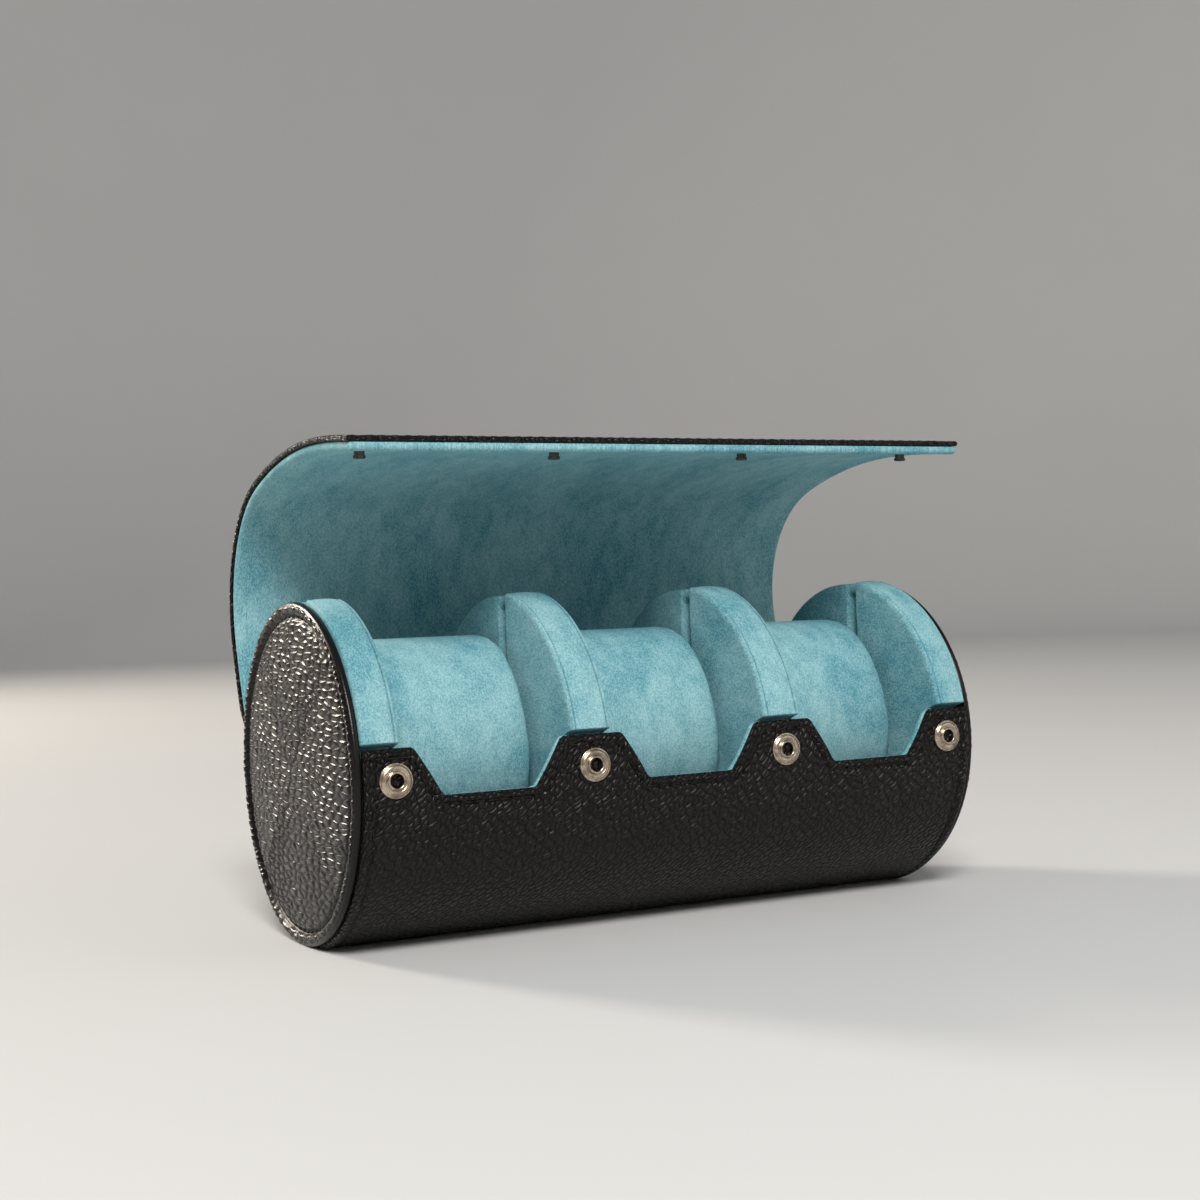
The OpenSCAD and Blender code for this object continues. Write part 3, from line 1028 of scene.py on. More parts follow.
@dataclass
class Shell:
    """The curved outer sheet of the case, its suede lining and its stitching."""

    finishes: Finishes
    sizes: CaseSizes = CASE
    edge: ToothedEdge = field(default_factory=ToothedEdge)
    leather_step: float = 0.7
    lining_step: float = 1.6
    fine_length: float = 14.0
    fine_rows: float = 0.6
    coarse_length: float = 140.0
    coarse_rows: float = 2.6
    end_bulge: float = 0.7
    edge_bulge: float = 0.8
    floor_gap: float = 0.02
    seam_depth: float = 0.4
    seam_width: float = 0.5
    seam_ease: float = 0.8
    hem: float = 0.2
    front_span: float = 0.6
    far: float = 99.0
    thread_sink: float = 0.28
    thread_floor: float = 0.3

    def sheet(self, name: str, low: float, high: float, back: float, step: float,
              lift: float = 0.0, inset: float = 0.0) -> bpy.types.Object:
        """One layer of the shell as a closed sheet with rounded edges.

        Each column runs at one x from the toothed front edge, under the case and up the back. Its
        rows are finer near the edge, start on the edge's outline and relax to even angles. The
        leather's columns also take the seam's relief, and it is kept off the floor.

        Args:
            name: Name of the piece.
            low: Inner radius.
            high: Outer radius.
            back: Angle of the back edge above the back horizontal, in degrees.
            step: Size of a grid cell.
            lift: How far the front edge stands above the leather's.
            inset: How far the ends stop short of the shell's ends.

        Returns:
            The closed sheet.
        """
        s = self.sizes
        outside = high == s.shell_radius
        half = (high - low) / 2.0
        middle = (high + low) / 2.0
        limit = s.shell_half - half - inset
        x = np.linspace(-limit, limit, int(2 * limit / step))
        top = self.edge.height(x) + lift - half
        start = math.pi - np.arcsin(top / middle)
        end = TURN + math.radians(back)
        near = self.fine_length / (middle * (end - start.min()))
        fine = int(self.fine_length / (self.fine_rows * step))
        coarse = int(self.coarse_length / (self.coarse_rows * step))
        ratio = np.concatenate([np.linspace(0.0, near, fine, endpoint=False),
                                np.linspace(near, 1.0, coarse)])
        angle = start[:, None] + (end - start)[:, None] * ratio
        relaxed = start.min() + (end - start.min()) * ratio
        angle = angle + (relaxed - angle) * smooth_step(0.25, 0.6, ratio)
        grid_x = np.broadcast_to(x[:, None], angle.shape)
        radius, shade = np.full_like(angle, middle), None
        if outside:
            relief = self.seam_relief(grid_x, angle)
            radius = radius + relief
            # Painted shade: the leather's colour darkens as deep as the stitched furrow sinks.
            shade = np.clip(-relief / self.seam_depth, 0.0, 1.0)
        y, z = around(radius, angle)
        if outside:
            z = np.maximum(z, half + self.floor_gap)
        normal = ordered(np.zeros_like(angle), np.cos(angle), np.sin(angle))
        uv = np.stack([grid_x, middle * (TURN - angle)], axis=-1)
        bulge = (self.end_bulge, self.end_bulge, self.edge_bulge, 0.0 if outside else self.edge_bulge)
        return thick_sheet(name, ordered(grid_x, y, z), normal, np.full(angle.shape, half), uv, bulge,
                           shade)

    def seam_relief(self, x: Array, angle: Array) -> Array:
        """Furrow pressed into the leather by the stitches, and the fuller hem beyond it.

        With u the distance past the furrow towards the edge, the hem rises by
        hem (1 - (2 u / seam - 1)^2) and not below zero. The distance from the sloping front line is
        the difference in height over the square root of 1 + slope^2.

        Args:
            x: Place along the case.
            angle: Angle about the axis.

        Returns:
            Radius change in millimetres.
        """
        s = self.sizes
        line = corner_round(x, *self.edge.corners(s.seam), self.seam_ease)
        front = np.abs(angle - math.pi) < self.front_span
        slope = np.gradient(line, axis=0) / np.gradient(x, axis=0)
        gap = (s.shell_radius * np.sin(math.pi - angle) - line) / np.sqrt(1.0 + slope ** 2)
        beyond = np.abs(x) - (s.shell_half - s.seam)
        past = np.maximum(np.where(front, gap, -self.far), beyond)
        nearest = np.minimum(np.where(front, np.abs(gap), self.far), np.abs(beyond))
        hem = self.hem * (1.0 - (2.0 * past / s.seam - 1.0) ** 2).clip(0.0)
        return groove(nearest, self.seam_width, self.seam_depth) + hem

    def stitch_rows(self) -> bpy.types.Object:
        """Stitches along the toothed edge and, as arcs about the axis, round both ends of the shell.

        Returns:
            The stitches.
        """
        s = self.sizes
        path, normal = self.edge.seam_path(s.seam)
        rows = [stitches("edge_row", path, normal, self.thread_sink)]
        corner = math.pi - math.asin((s.tooth_top - s.seam) / s.shell_radius)
        corner_clear = 0.07
        angle = np.linspace(corner + corner_clear, TURN + math.radians(s.fold_angle), 500)
        y, z = around(s.shell_radius, angle)
        normal = ordered(0.0, np.cos(angle), np.sin(angle))
        for side in Side:
            path = ordered(side.value * (s.shell_half - s.seam), y, np.maximum(z, self.thread_floor))
            rows.append(stitches("end_row", path, normal, self.thread_sink))
        return join("shell_stitches", rows)

    def build(self) -> None:
        """Builds the leather with its board, the lining and the stitches."""
        s = self.sizes
        leather = self.sheet("shell_leather", s.shell_radius - s.leather - s.board, s.shell_radius,
                             s.fold_angle, self.leather_step, inset=-0.35)
        dress(leather, self.finishes.leather)
        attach(leather, "case")
        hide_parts("body_leather", "body_board")
        lining = self.sheet("shell_lining", s.bay_radius, s.bay_radius + s.lining,
                            s.back_angle - 1.5, self.lining_step, lift=-0.25, inset=2.4)
        dress(lining, self.finishes.suede_sheet)
        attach(lining, "case")
        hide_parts("body_lining")
        thread = self.stitch_rows()
        dress(thread, self.finishes.dark_thread)
        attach(thread, "case")
        for name in ("left_end_board", "right_end_board"):
            dress(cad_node(name), self.finishes.board)
        log.info("shell: leather, lining and %d stitch faces", len(thread.data.polygons))


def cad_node(name: str) -> bpy.types.Object:
    """The object of a CAD node."""
    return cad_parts[name]


@dataclass
class EndDisc:
    """A padded leather disc at one end of the case, with a stitched border and a raised rim."""

    finishes: Finishes
    side: Side
    sizes: CaseSizes = CASE
    field_radius: float = 40.0
    seam_radius: float = 43.0
    roll_radius: float = 45.2
    face_radius: float = 46.0
    level: float = 1.6
    dome: float = 1.5
    seam_width: float = 0.75
    seam_depth: float = 0.55
    roll_width: float = 1.7
    thread_sink: float = 0.35
    grid: tuple[int, int] = (176, 396)
    pebble_height: float = 0.5
    pebble_length: float = 4.8
    pebble_width: float = 1.85
    pebble_seed: int = 11
    pattern_shift: float = 7.0

    def profile(self) -> tuple[Array, Array]:
        """Radius and height of the disc's face, from its middle to its back edge.

        The face is a stuffed dome, dips at the stitch line, swells into a rolled rim and turns over
        a rounded edge: height = level + dome * (1 - (r / seam)^3) + groove + rim roll, where the
        roll is a parabola that falls to zero at roll_width from roll_radius. Then comes a quarter
        turn from face_radius to disc_radius, and the edge runs back to the shell's end.

        Returns:
            Radii and heights, heights measured outwards from the shell's end.
        """
        s = self.sizes
        flat = np.concatenate([np.linspace(0.02, self.field_radius, 44),
                               np.linspace(self.field_radius + 0.3, self.face_radius, 36)])
        height = self.level + self.dome * (1.0 - (flat / self.seam_radius) ** 3).clip(0.0)
        height = height + groove(flat - self.seam_radius, self.seam_width, self.seam_depth)
        roll = 1.0 - ((flat - self.roll_radius) / self.roll_width) ** 2
        height = height + (s.disc_proud + 0.1 - self.level) * roll.clip(0.0)
        turn = np.linspace(0.12, QUARTER, 7)
        edge_r = self.face_radius + (s.disc_radius - self.face_radius) * np.sin(turn)
        edge_h = height[-1] - 1.0 + np.cos(turn)
        back = np.array([s.disc_radius - 0.05, s.disc_radius - 0.4, self.field_radius])
        back_h = np.array([0.25, 0.03, 0.03])
        return np.concatenate([flat, edge_r, back]), np.concatenate([height, edge_h, back_h])

    def spread(self) -> tuple[Array, Array]:
        """A square grid spread over the disc: rings of squares become rings of circles.

        With a and b from -1 to 1 and |a| >= |b|, the point is a times face_radius away at the angle
        45 b / a degrees; otherwise it is b times face_radius away at 90 - 45 a / b degrees.

        Returns:
            Places across and up the disc.
        """
        a, b = np.meshgrid(*(np.linspace(-1.0, 1.0, count) for count in self.grid), indexing="ij")
        wide = np.abs(a) >= np.abs(b)
        reach = np.where(wide, a, b)
        ratio = np.where(wide, b, a) / np.where(np.abs(reach) < 1e-9, 1.0, reach)
        angle = np.where(wide, QUARTER / 2.0 * ratio, QUARTER - QUARTER / 2.0 * ratio)
        reach = self.face_radius * reach
        return reach * np.cos(angle), reach * np.sin(angle)

    def grain(self, y: Array, z: Array) -> Array:
        """Pebble height over the disc, along lines that wander, and lower in the stitched furrow.

        The pebbles lie along y + 0.9 sin(0.19 z) + 0.2 z, and across it by
        z + 0.3 sin(0.16 y + 0.7) + 0.25 sin(0.45 z + 0.2 y), all in millimetres.

        Args:
            y: Places across the disc.
            z: Places up the disc.

        Returns:
            Heights, 0 in a crease and about 1 on top.
        """
        along = y + 0.9 * np.sin(0.19 * z) + 0.2 * z
        across = z + 0.3 * np.sin(0.16 * y + 0.7) + 0.25 * np.sin(0.45 * z + 0.2 * y)
        seed = self.pebble_seed + self.side.value
        height = pebbles(along, across, self.pebble_length, self.pebble_width, seed)
        furrow = np.exp(-((np.hypot(y, z) - self.seam_radius) / 0.9) ** 2)
        return height * (1.0 - 0.75 * furrow)

    def cover(self, name: str) -> bpy.types.Object:
        """The disc as one closed surface: a pebbled face, its turned edge and a flat back.

        The face's border goes on as rings of the profile's edge, at the angle of each border point,
        and a fan of triangles closes the back.

        Args:
            name: Name of the piece.

        Returns:
            The disc.
        """
        s, sign = self.sizes, self.side.value
        radius, height = self.profile()
        face = int(np.searchsorted(radius, self.face_radius + 1e-6))
        y, z = self.spread()
        grain = self.grain(y, z)
        level = np.interp(np.hypot(y, z), radius[:face], height[:face]) + self.pebble_height * grain
        loop = border_loop(*y.shape)
        turn = np.arctan2(z, y).reshape(-1)[loop]
        edge_r, edge_h = radius[face:, None], height[face:]
        points_y = np.concatenate([y.reshape(-1), (edge_r * np.cos(turn)).reshape(-1)])
        points_z = np.concatenate([z.reshape(-1), (edge_r * np.sin(turn)).reshape(-1)])
        outward = np.concatenate([level.reshape(-1), np.repeat(edge_h, len(loop))])
        rings = y.size + np.arange(len(edge_h) * len(loop)).reshape(len(edge_h), -1)
        strip = np.concatenate([loop[None], rings])
        quads = np.concatenate([grid_quads(*y.shape), quads_between(strip, wrap=True)])
        points = ordered(sign * (s.shell_half + outward), points_y, points_z + s.axis_height)
        points = np.concatenate([points, [[sign * s.shell_half, 0.0, s.axis_height]]])
        last = strip[-1]
        fan = np.stack([last, np.roll(last, -1), np.full_like(last, len(points) - 1)], axis=-1)
        if self.side is Side.RIGHT:
            quads, fan = quads[:, ::-1], fan[:, ::-1]
        marks = np.concatenate([grain.reshape(-1), np.full(len(points) - y.size, 0.5)])
        uv = points[:, 1:] + self.pattern_shift * sign
        return add_mesh(name, points, quads, uv, fan, grain=marks)

    def thread_ring(self, name: str) -> bpy.types.Object:
        """The ring of stitches in the disc's furrow.

        Args:
            name: Name of the piece.

        Returns:
            The stitches.
        """
        turn = np.linspace(0.0, TURN, 241)
        y, z = around(self.seam_radius, turn)
        path = ordered(self.side.value * (self.sizes.shell_half + self.level), y, z)
        normal = np.tile([float(self.side.value), 0.0, 0.0], (len(path), 1))
        return stitches(name, path, normal, self.thread_sink)

    def build(self) -> None:
        """Builds the disc and its ring of stitches."""
        name = f"{self.side.name.lower()}_disc"
        piece = self.cover(name)
        dress(piece, self.finishes.disc_leather)
        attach(piece, "case")
        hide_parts(f"{self.side.name.lower()}_end_leather")
        row = self.thread_ring(f"{name}_stitches")
        dress(row, self.finishes.dark_thread)
        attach(row, "case")
        log.info("%s with its stitches", name)


@dataclass
class Partition:
    """A padded suede wall between bays or at an end, with a seamed rim and a tucked groove."""

    finishes: Finishes
    name: str
    middle: float
    width: float
    sizes: CaseSizes = CASE
    outer: Optional[Side] = None
    play: float = 0.02
    rim_front: float = 48.0
    rim_rear: float = 46.8
    front_clear: float = 1.0
    rear_level: float = 13.8
    start_ease: float = 0.008
    groove_middle: float = 4.6
    groove_width: float = 4.4
    floor: float = 44.4
    tuck_depth: float = 3.0
    tuck_level: tuple[float, float] = (14.0, 24.0)
    tuck_shade: float = 0.8
    rim_tuck: float = 0.6
    roll_in: float = 1.8
    roll_out: float = 1.0
    face_in: float = 0.06
    ribs: int = 96
    rib_height: float = 0.06
    crease_in: float = 0.25
    crease_width: float = 0.2
    crease_depth: float = 0.5
    crease_shade: float = 0.55
    band_in: float = 0.12
    band_swell: float = 0.32

    @property
    def starts(self) -> tuple[float, float]:
        """Angles at which the rim leaves the shell, in front and at the rear."""
        front = math.pi - math.asin((self.sizes.tooth_top + self.front_clear) / self.rim_front)
        return front, math.asin(self.rear_level / self.rim_rear)

    @property
    def groove_edges(self) -> tuple[float, float]:
        """Y places of the front and the rear edge of the tucked groove."""
        half = self.groove_width / 2
        return -self.groove_middle - half, -self.groove_middle + half

    def rim(self, angle: Array) -> tuple[Array, Array]:
        """Radius of the rim at an angle: inside the shell below, standing up between its edges.

        Smooth steps carry it from the shell's lining up to rim_front, down to the groove's floor, up
        to rim_rear and back to the lining.

        Args:
            angle: Angle about the axis from the back horizontal.

        Returns:
            Radius in millimetres, and how far the point is shaded by a gap or a tuck.
        """
        inside, ease = self.sizes.bay_radius - self.play, self.start_ease
        front_start, rear_start = self.starts
        front = smooth_step(front_start + ease, front_start - ease, angle)
        rear = smooth_step(rear_start - ease, rear_start + ease, angle)
        y = self.rim_front * np.cos(angle)
        front_edge, rear_edge = self.groove_edges
        ahead = smooth_step(front_edge + 0.35, front_edge - 0.15, y)
        behind = smooth_step(rear_edge - 1.5, rear_edge + 0.3, y)
        upper = np.where(y < -self.groove_middle, self.rim_front * ahead + self.floor * (1 - ahead),
                         self.rim_rear * behind + self.floor * (1 - behind))
        shade = np.maximum(1.0 - np.maximum(ahead, behind), 4.0 * front * (1.0 - front))
        return inside + (upper - inside) * front * rear, shade * (angle > 0.3) * (angle < 3.0)

    def tuck(self, y: Array) -> Array:
        """Depth share of the tuck across y: a sharp drop behind the front pad, a soft rise after."""
        front_edge, rear_edge = self.groove_edges
        drop = smooth_step(front_edge - 0.3, front_edge + 0.5, y)
        return drop * smooth_step(rear_edge + 0.6, rear_edge - 2.2, y)

    def angles(self) -> Array:
        """Angles of the sections: even steps, and finer ones at the tuck and at both starts."""
        fine = [np.radians(np.linspace(91.0, 105.0, 42))]
        fine += [start + np.linspace(-0.012, 0.012, 7) for start in self.starts]
        return np.unique(np.round(np.concatenate([circle(400), *fine]), 4))

    def build(self) -> None:
        """Builds the wall as one closed surface.

        For each angle the section runs from the axis out along one face, over a padded edge, across
        the rim band and back along the other face. The padded edge is close to an ellipse quarter,
        roll_out across and roll_in deep. The rim band swells as a parabola between two sewn creases,
        fine ribs gather the cover round the edge, and a tuck cuts through both faces and the rim.
        """
        angle = self.angles()
        rim, gap_shade = self.rim(angle)
        half = self.width / 2.0 - self.play
        fraction = np.concatenate([np.linspace(0.01, 0.78, 18), np.linspace(0.80, 1.0, 14)])
        fraction = fraction[:, None]
        face_r = fraction * (rim - self.roll_in)
        upper = smooth_step(*self.tuck_level, face_r * np.sin(angle))
        tuck = self.tuck(face_r * np.cos(angle)) * upper
        ribs = np.cos(angle * self.ribs) * self.rib_height * smooth_step(0.84, 0.97, fraction)
        face_x = half - self.face_in - self.tuck_depth * tuck + ribs
        turn = np.linspace(0.0, QUARTER, 9)[1:, None]
        edge_r = rim - self.roll_in + self.roll_in * np.sin(turn) ** 0.9
        edge_tuck = self.tuck(edge_r * np.cos(angle)) * (np.sin(angle) > 0.5)
        edge_x = (half - self.face_in - self.roll_out * (1.0 - np.cos(turn))
                  - self.tuck_depth * edge_tuck * self.rim_tuck)
        limit = half - self.roll_out - 0.1
        seam = limit - self.crease_in
        near = seam + np.array([0.2, 0.1, 0.0, -0.1, -0.22, -0.4])
        across = np.linspace(limit - 1.2, -limit + 1.2, 9)
        across = np.concatenate([near, across, -near[::-1]])[:, None]
        crease = np.exp(-((np.abs(across) - seam) / self.crease_width) ** 2)
        if self.outer is not None:
            crease = crease * (across * self.outer.value < 0.0)
        band = -self.band_in + self.band_swell * (1.0 - (across / limit) ** 2)
        rim_r = rim + band - self.crease_depth * crease
        rim_x = np.broadcast_to(across, rim_r.shape)
        x = np.concatenate([face_x, edge_x, rim_x, -edge_x[::-1], -face_x[::-1]])
        r = np.concatenate([face_r, edge_r, rim_r, edge_r[::-1], face_r[::-1]])
        tall = rim > self.sizes.bay_radius + 0.5
        face_shade = self.tuck_shade * tuck
        edge_shade = np.maximum(self.tuck_shade * edge_tuck, gap_shade)
        rim_shade = np.maximum(self.crease_shade * crease * tall, gap_shade)
        shade = np.concatenate([face_shade, edge_shade, rim_shade, edge_shade[::-1],
                                face_shade[::-1]])
        y, z = around(r, angle)
        piece = closed_tube(self.name, ordered(self.middle + x, y, z), shade)
        dress(piece, self.finishes.suede)
        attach(piece, "case")
        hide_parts(f"{self.name}_suede", f"{self.name}_foam")
        log.info("%s: %d faces", self.name, len(piece.data.polygons))


@dataclass
class Pillow:
    """A soft suede roll for one bay, crowned, with its ends drawn in and a closing seam."""

    finishes: Finishes
    bay: Bay
    radius: float = 31.2
    half: float = 24.15
    back: float = 4.5
    up: float = 4.3
    corner: float = 2.8
    crown: float = 0.7
    slack: float = 0.6
    section_in: float = 0.008
    section_square: float = 0.012
    section_turn: float = 0.35
    columns: int = 144
    cover_cell: float = 2.1
    pressure: float = 4.0
    stiffness: float = 30.0
    frames: int = 20
    swell_limit: float = 1.6
    end_seam_in: float = 2.4
    end_seam_depth: float = 0.4
    closing_angle: float = -1.9
    closing_depth: float = 0.5

    def section(self, angle: Array) -> Array:
        """Radius factor, pressed slightly square: 1 - in + square cos(4 (angle - turn))."""
        return 1.0 - self.section_in + self.section_square * np.cos(4.0 * (angle - self.section_turn))

    def build(self, sewn: Optional[bpy.types.Mesh] = None) -> bpy.types.Mesh:
        """Builds the roll, or reuses the sewn form of another pillow.

        Args:
            sewn: Mesh of a finished pillow about the origin, to be copied.

        Returns:
            The finished mesh about the origin, for the next pillow.
        """
        name = f"{self.bay.name.lower()}_pillow"
        if sewn is None:
            piece = self.cushion(name)
            sewn = piece.data.copy()
        else:
            piece = bpy.data.objects.new(name, sewn.copy())
            bpy.context.scene.collection.objects.link(piece)
        place = Vector((self.bay.value, self.back, CASE.axis_height + self.up)) * MM
        piece.data.transform(Matrix.Translation(place))
        dress(piece, self.finishes.suede)
        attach(piece, name)
        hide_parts(f"{name}_wrap", f"{name}_ends", f"{name}_foam")
        log.info("%s: %d faces", name, len(piece.data.polygons))
        return sewn

    def cushion(self, name: str) -> bpy.types.Object:
        """A pillow about the origin: swelled by the cloth solver, then seamed.

        Before it swells it is a roll with flat ends and quarter-circle corners.

        Args:
            name: Name of the piece.

        Returns:
            The pillow.
        """
        angle = circle(self.columns)
        turn = np.linspace(0.0, QUARTER, 8)[1:]
        radius, half = self.radius - self.crown, self.half - self.slack
        inner_r, inner_x = radius - self.corner, half - self.corner
        end_r = np.linspace(0.05, inner_r, 14)
        end_x = np.full_like(end_r, half)
        end_r = np.concatenate([end_r, inner_r + self.corner * np.sin(turn)])
        end_x = np.concatenate([end_x, inner_x + self.corner * np.cos(turn)])
        belly_x = np.linspace(inner_x, -inner_x, 22)[1:-1]
        r = np.concatenate([end_r, np.full_like(belly_x, radius), end_r[::-1]])
        x = np.concatenate([end_x, belly_x, -end_x[::-1]])
        grid_r = r[:, None] * self.section(angle)
        points = ordered(x[:, None], grid_r * np.cos(angle), grid_r * np.sin(angle))
        piece = closed_tube(name, points)
        self.swell(piece)
        self.seam(piece)
        return piece

    def swell(self, piece: bpy.types.Object) -> None:
        """Blows the cover up with the cloth solver; no point moves further than swell_limit.

        Args:
            piece: The closed form, changed in place.
        """
        bpy.context.view_layer.objects.active = piece
        remesh = piece.modifiers.new("cover", "REMESH")
        remesh.mode = "VOXEL"
        remesh.voxel_size = self.cover_cell * MM
        remesh.use_smooth_shade = True
        with bpy.context.temp_override(object=piece, active_object=piece):
            bpy.ops.object.modifier_apply(modifier="cover")
        start = np.empty(len(piece.data.vertices) * 3)
        piece.data.vertices.foreach_get("co", start)
        cloth = piece.modifiers.new("stuffing", "CLOTH")
        cloth.settings.use_pressure = True
        cloth.settings.uniform_pressure_force = self.pressure
        cloth.settings.effector_weights.gravity = 0.0
        cloth.settings.tension_stiffness = self.stiffness
        cloth.settings.compression_stiffness = self.stiffness
        cloth.point_cache.frame_start, cloth.point_cache.frame_end = 1, self.frames
        for frame in range(self.frames):
            bpy.context.scene.frame_set(frame + 1)
        solved = piece.evaluated_get(bpy.context.evaluated_depsgraph_get())
        end = np.empty_like(start)
        solved.data.vertices.foreach_get("co", end)
        piece.modifiers.remove(cloth)
        bpy.context.scene.frame_set(1)
        start, end = start.reshape(-1, 3), end.reshape(-1, 3)
        move = end - start
        size = np.linalg.norm(move, axis=1, keepdims=True)
        move = move * np.minimum(1.0, self.swell_limit * MM / np.maximum(size, 1e-9))
        piece.data.vertices.foreach_set("co", (start + move).reshape(-1))
        smooth = piece.modifiers.new("finer", "SUBSURF")
        smooth.levels = smooth.render_levels = 1
        with bpy.context.temp_override(object=piece, active_object=piece):
            bpy.ops.object.modifier_apply(modifier="finer")

    def seam(self, piece: bpy.types.Object) -> None:
        """Presses the end seams and the closing seam into the pillow and keeps it in its space.

        Args:
            piece: The pillow about the origin, changed in place.
        """
        co = np.empty(len(piece.data.vertices) * 3)
        piece.data.vertices.foreach_get("co", co)
        co = co.reshape(-1, 3) / MM
        limit = self.radius + self.crown
        co[:, 1:] *= limit / np.hypot(co[:, 1], co[:, 2]).max()
        co[:, 0] *= self.half / np.abs(co[:, 0]).max()
        x, radius = co[:, 0], np.hypot(co[:, 1], co[:, 2])
        angle = np.arctan2(co[:, 2], co[:, 1])
        outward = ordered(0.0, np.cos(angle), np.sin(angle))
        end_seam = groove(radius - (self.radius - self.end_seam_in), 0.6, self.end_seam_depth)
        end_seam = end_seam * (np.abs(x) > self.half - 5.0)
        away = np.abs((angle - self.closing_angle + math.pi) % TURN - math.pi) * radius
        closing = groove(away, 0.7, self.closing_depth) * (radius > self.radius - 4.0)
        co = co + outward * closing[:, None]
        co[:, 0] += np.sign(x) * end_seam
        radius = np.hypot(co[:, 1], co[:, 2])
        factor = np.minimum(1.0, limit / np.maximum(radius, 1e-6))
        co[:, 1:] *= factor[:, None]
        co[:, 0] = np.clip(co[:, 0], -self.half, self.half)
        piece.data.vertices.foreach_set("co", (co * MM).reshape(-1))
        piece.data.update()


@dataclass
class SnapFasteners:
    """Four ring sockets on the teeth and four small studs under the lid's edge."""

    finishes: Finishes
    sizes: CaseSizes = CASE
    angle: float = 179.0
    ring_radius: float = 4.6
    hole_radius: float = 1.8
    lip: float = 0.38
    roll: float = 0.24
    foot: float = 46.15
    base: float = 47.7
    face: float = 49.2
    steps: int = 64
    inner_beads: tuple[int, float, float, float] = (16, 3.42, 48.9, 0.15)
    outer_beads: tuple[int, float, float, float] = (44, 4.26, 48.34, 0.13)
    bead_sides: int = 6
    wire: float = 0.25
    wire_span: float = 3.6

    def stand(self, x: float) -> Matrix:
        """Frame on the tooth at x: local Z points out of the case, its origin lies on the axis."""
        turn = Matrix.Rotation(math.radians(self.angle - 90.0), 4, "X")
        return Matrix.Translation((x, 0.0, self.sizes.axis_height)) @ turn

    def ring(self, x: float) -> bpy.types.Object:
        """A crowned ring: a raised lip round the hole, a groove, a dome and a rolled outer edge.

        The profile is turned about the snap's axis: up the hole's wall, a half circle for the lip,
        six points over the dome, a little over a quarter circle for the rolled edge, and back under.

        Args:
            x: Place of the snap along the case.

        Returns:
            The ring.
        """
        lip = np.linspace(math.pi, 0.0, 9)
        roll = np.linspace(-0.5, QUARTER, 7)
        edge = self.ring_radius - self.roll
        radius = np.concatenate([
            [3.2, 3.2, self.hole_radius], self.hole_radius + self.lip * (1.0 + np.cos(lip)),
            [2.68, 2.95, 3.25, 3.6, 3.9, 4.12], edge + self.roll * np.sin(roll),
            [self.ring_radius - 0.02, 4.2, 3.4, 3.4]])
        height = np.concatenate([
            [self.foot, self.base + 0.05, self.base + 0.15],
            self.face - self.lip + self.lip * np.sin(lip),
            [48.60, 48.84, 48.95, 48.90, 48.72, 48.50], 48.16 + self.roll * np.cos(roll),
            [self.base + 0.05, self.base, self.base, self.foot]])
        return revolve("ring", radius, height, self.stand(x), self.steps)

    def beads(self, x: float, count: int, radius: float, height: float,
              size: float) -> bpy.types.Object:
        """A circle of small round bosses on the ring, each a cap of three rings with two poles.

        Args:
            x: Place of the snap along the case.
            count: Number of bosses.
            radius: Radius of their circle.
            height: Height of their feet above the case axis.
            size: Radius of one boss.

        Returns:
            The bosses as one piece.
        """
        sides, place, turn = self.bead_sides, circle(count), circle(self.bead_sides)
        polar = np.linspace(0.25, QUARTER, 3)[:, None]
        cap = ordered(size * np.sin(polar) * np.cos(turn), size * np.sin(polar) * np.sin(turn),
                      size * 0.8 * np.cos(polar)).reshape(-1, 3)
        top, foot = len(cap), len(cap) + 1
        cap = np.concatenate([cap, [[0.0, 0.0, 0.82 * size], [0.0, 0.0, 0.0]]])
        centre = ordered(radius * np.cos(place), radius * np.sin(place), height)
        points = (centre[:, None] + cap[None]).reshape(-1, 3)
        ring, last = np.arange(sides), np.arange(sides) + top - sides
        fans = np.concatenate([
            np.stack([ring, np.roll(ring, -1), np.full(sides, top)], axis=-1),
            np.stack([np.roll(last, -1), last, np.full(sides, foot)], axis=-1)])
        start = len(cap) * np.arange(count)[:, None, None]
        quads = (grid_quads(len(polar), sides, wrap=True, flip=True) + start).reshape(-1, 4)
        piece = add_mesh("beads", points, quads, triangles=(fans + start).reshape(-1, 3))
        piece.data.transform(scaled(self.stand(x)))
        return piece

    def spring(self, x: float) -> bpy.types.Object:
        """The spring in the socket: two bowed legs of wire, one on each side of the hole.

        With t from 0 to 1 over both legs, the path is 2.1 - 0.25 cos(4 pi t) to the side and runs
        wire_span along each leg.

        Args:
            x: Place of the snap along the case.

        Returns:
            The spring.
        """
        t = np.linspace(0.0, 1.0, 60)
        side = np.where(t < 0.5, -1.0, 1.0)
        bow = 2.1 - 0.25 * np.cos(4.0 * math.pi * t)
        path = ordered(side * bow, self.wire_span * (((2 * t) % 1.0) - 0.5), self.base - 0.6)
        ring = circle(8)[:, None]
        legs = []
        for leg in np.split(path, 2):
            along = unit(np.gradient(leg, axis=0))
            across = unit(np.cross(along, np.array([0.0, 0.0, 1.0])))
            up = np.cross(across, along)
            round_leg = across[:, None] * np.cos(ring) + up[:, None] * np.sin(ring)
            legs.append(closed_tube("leg", leg[:, None] + self.wire * round_leg))
        piece = join("spring", legs)
        piece.data.transform(scaled(self.stand(x)))
        return piece

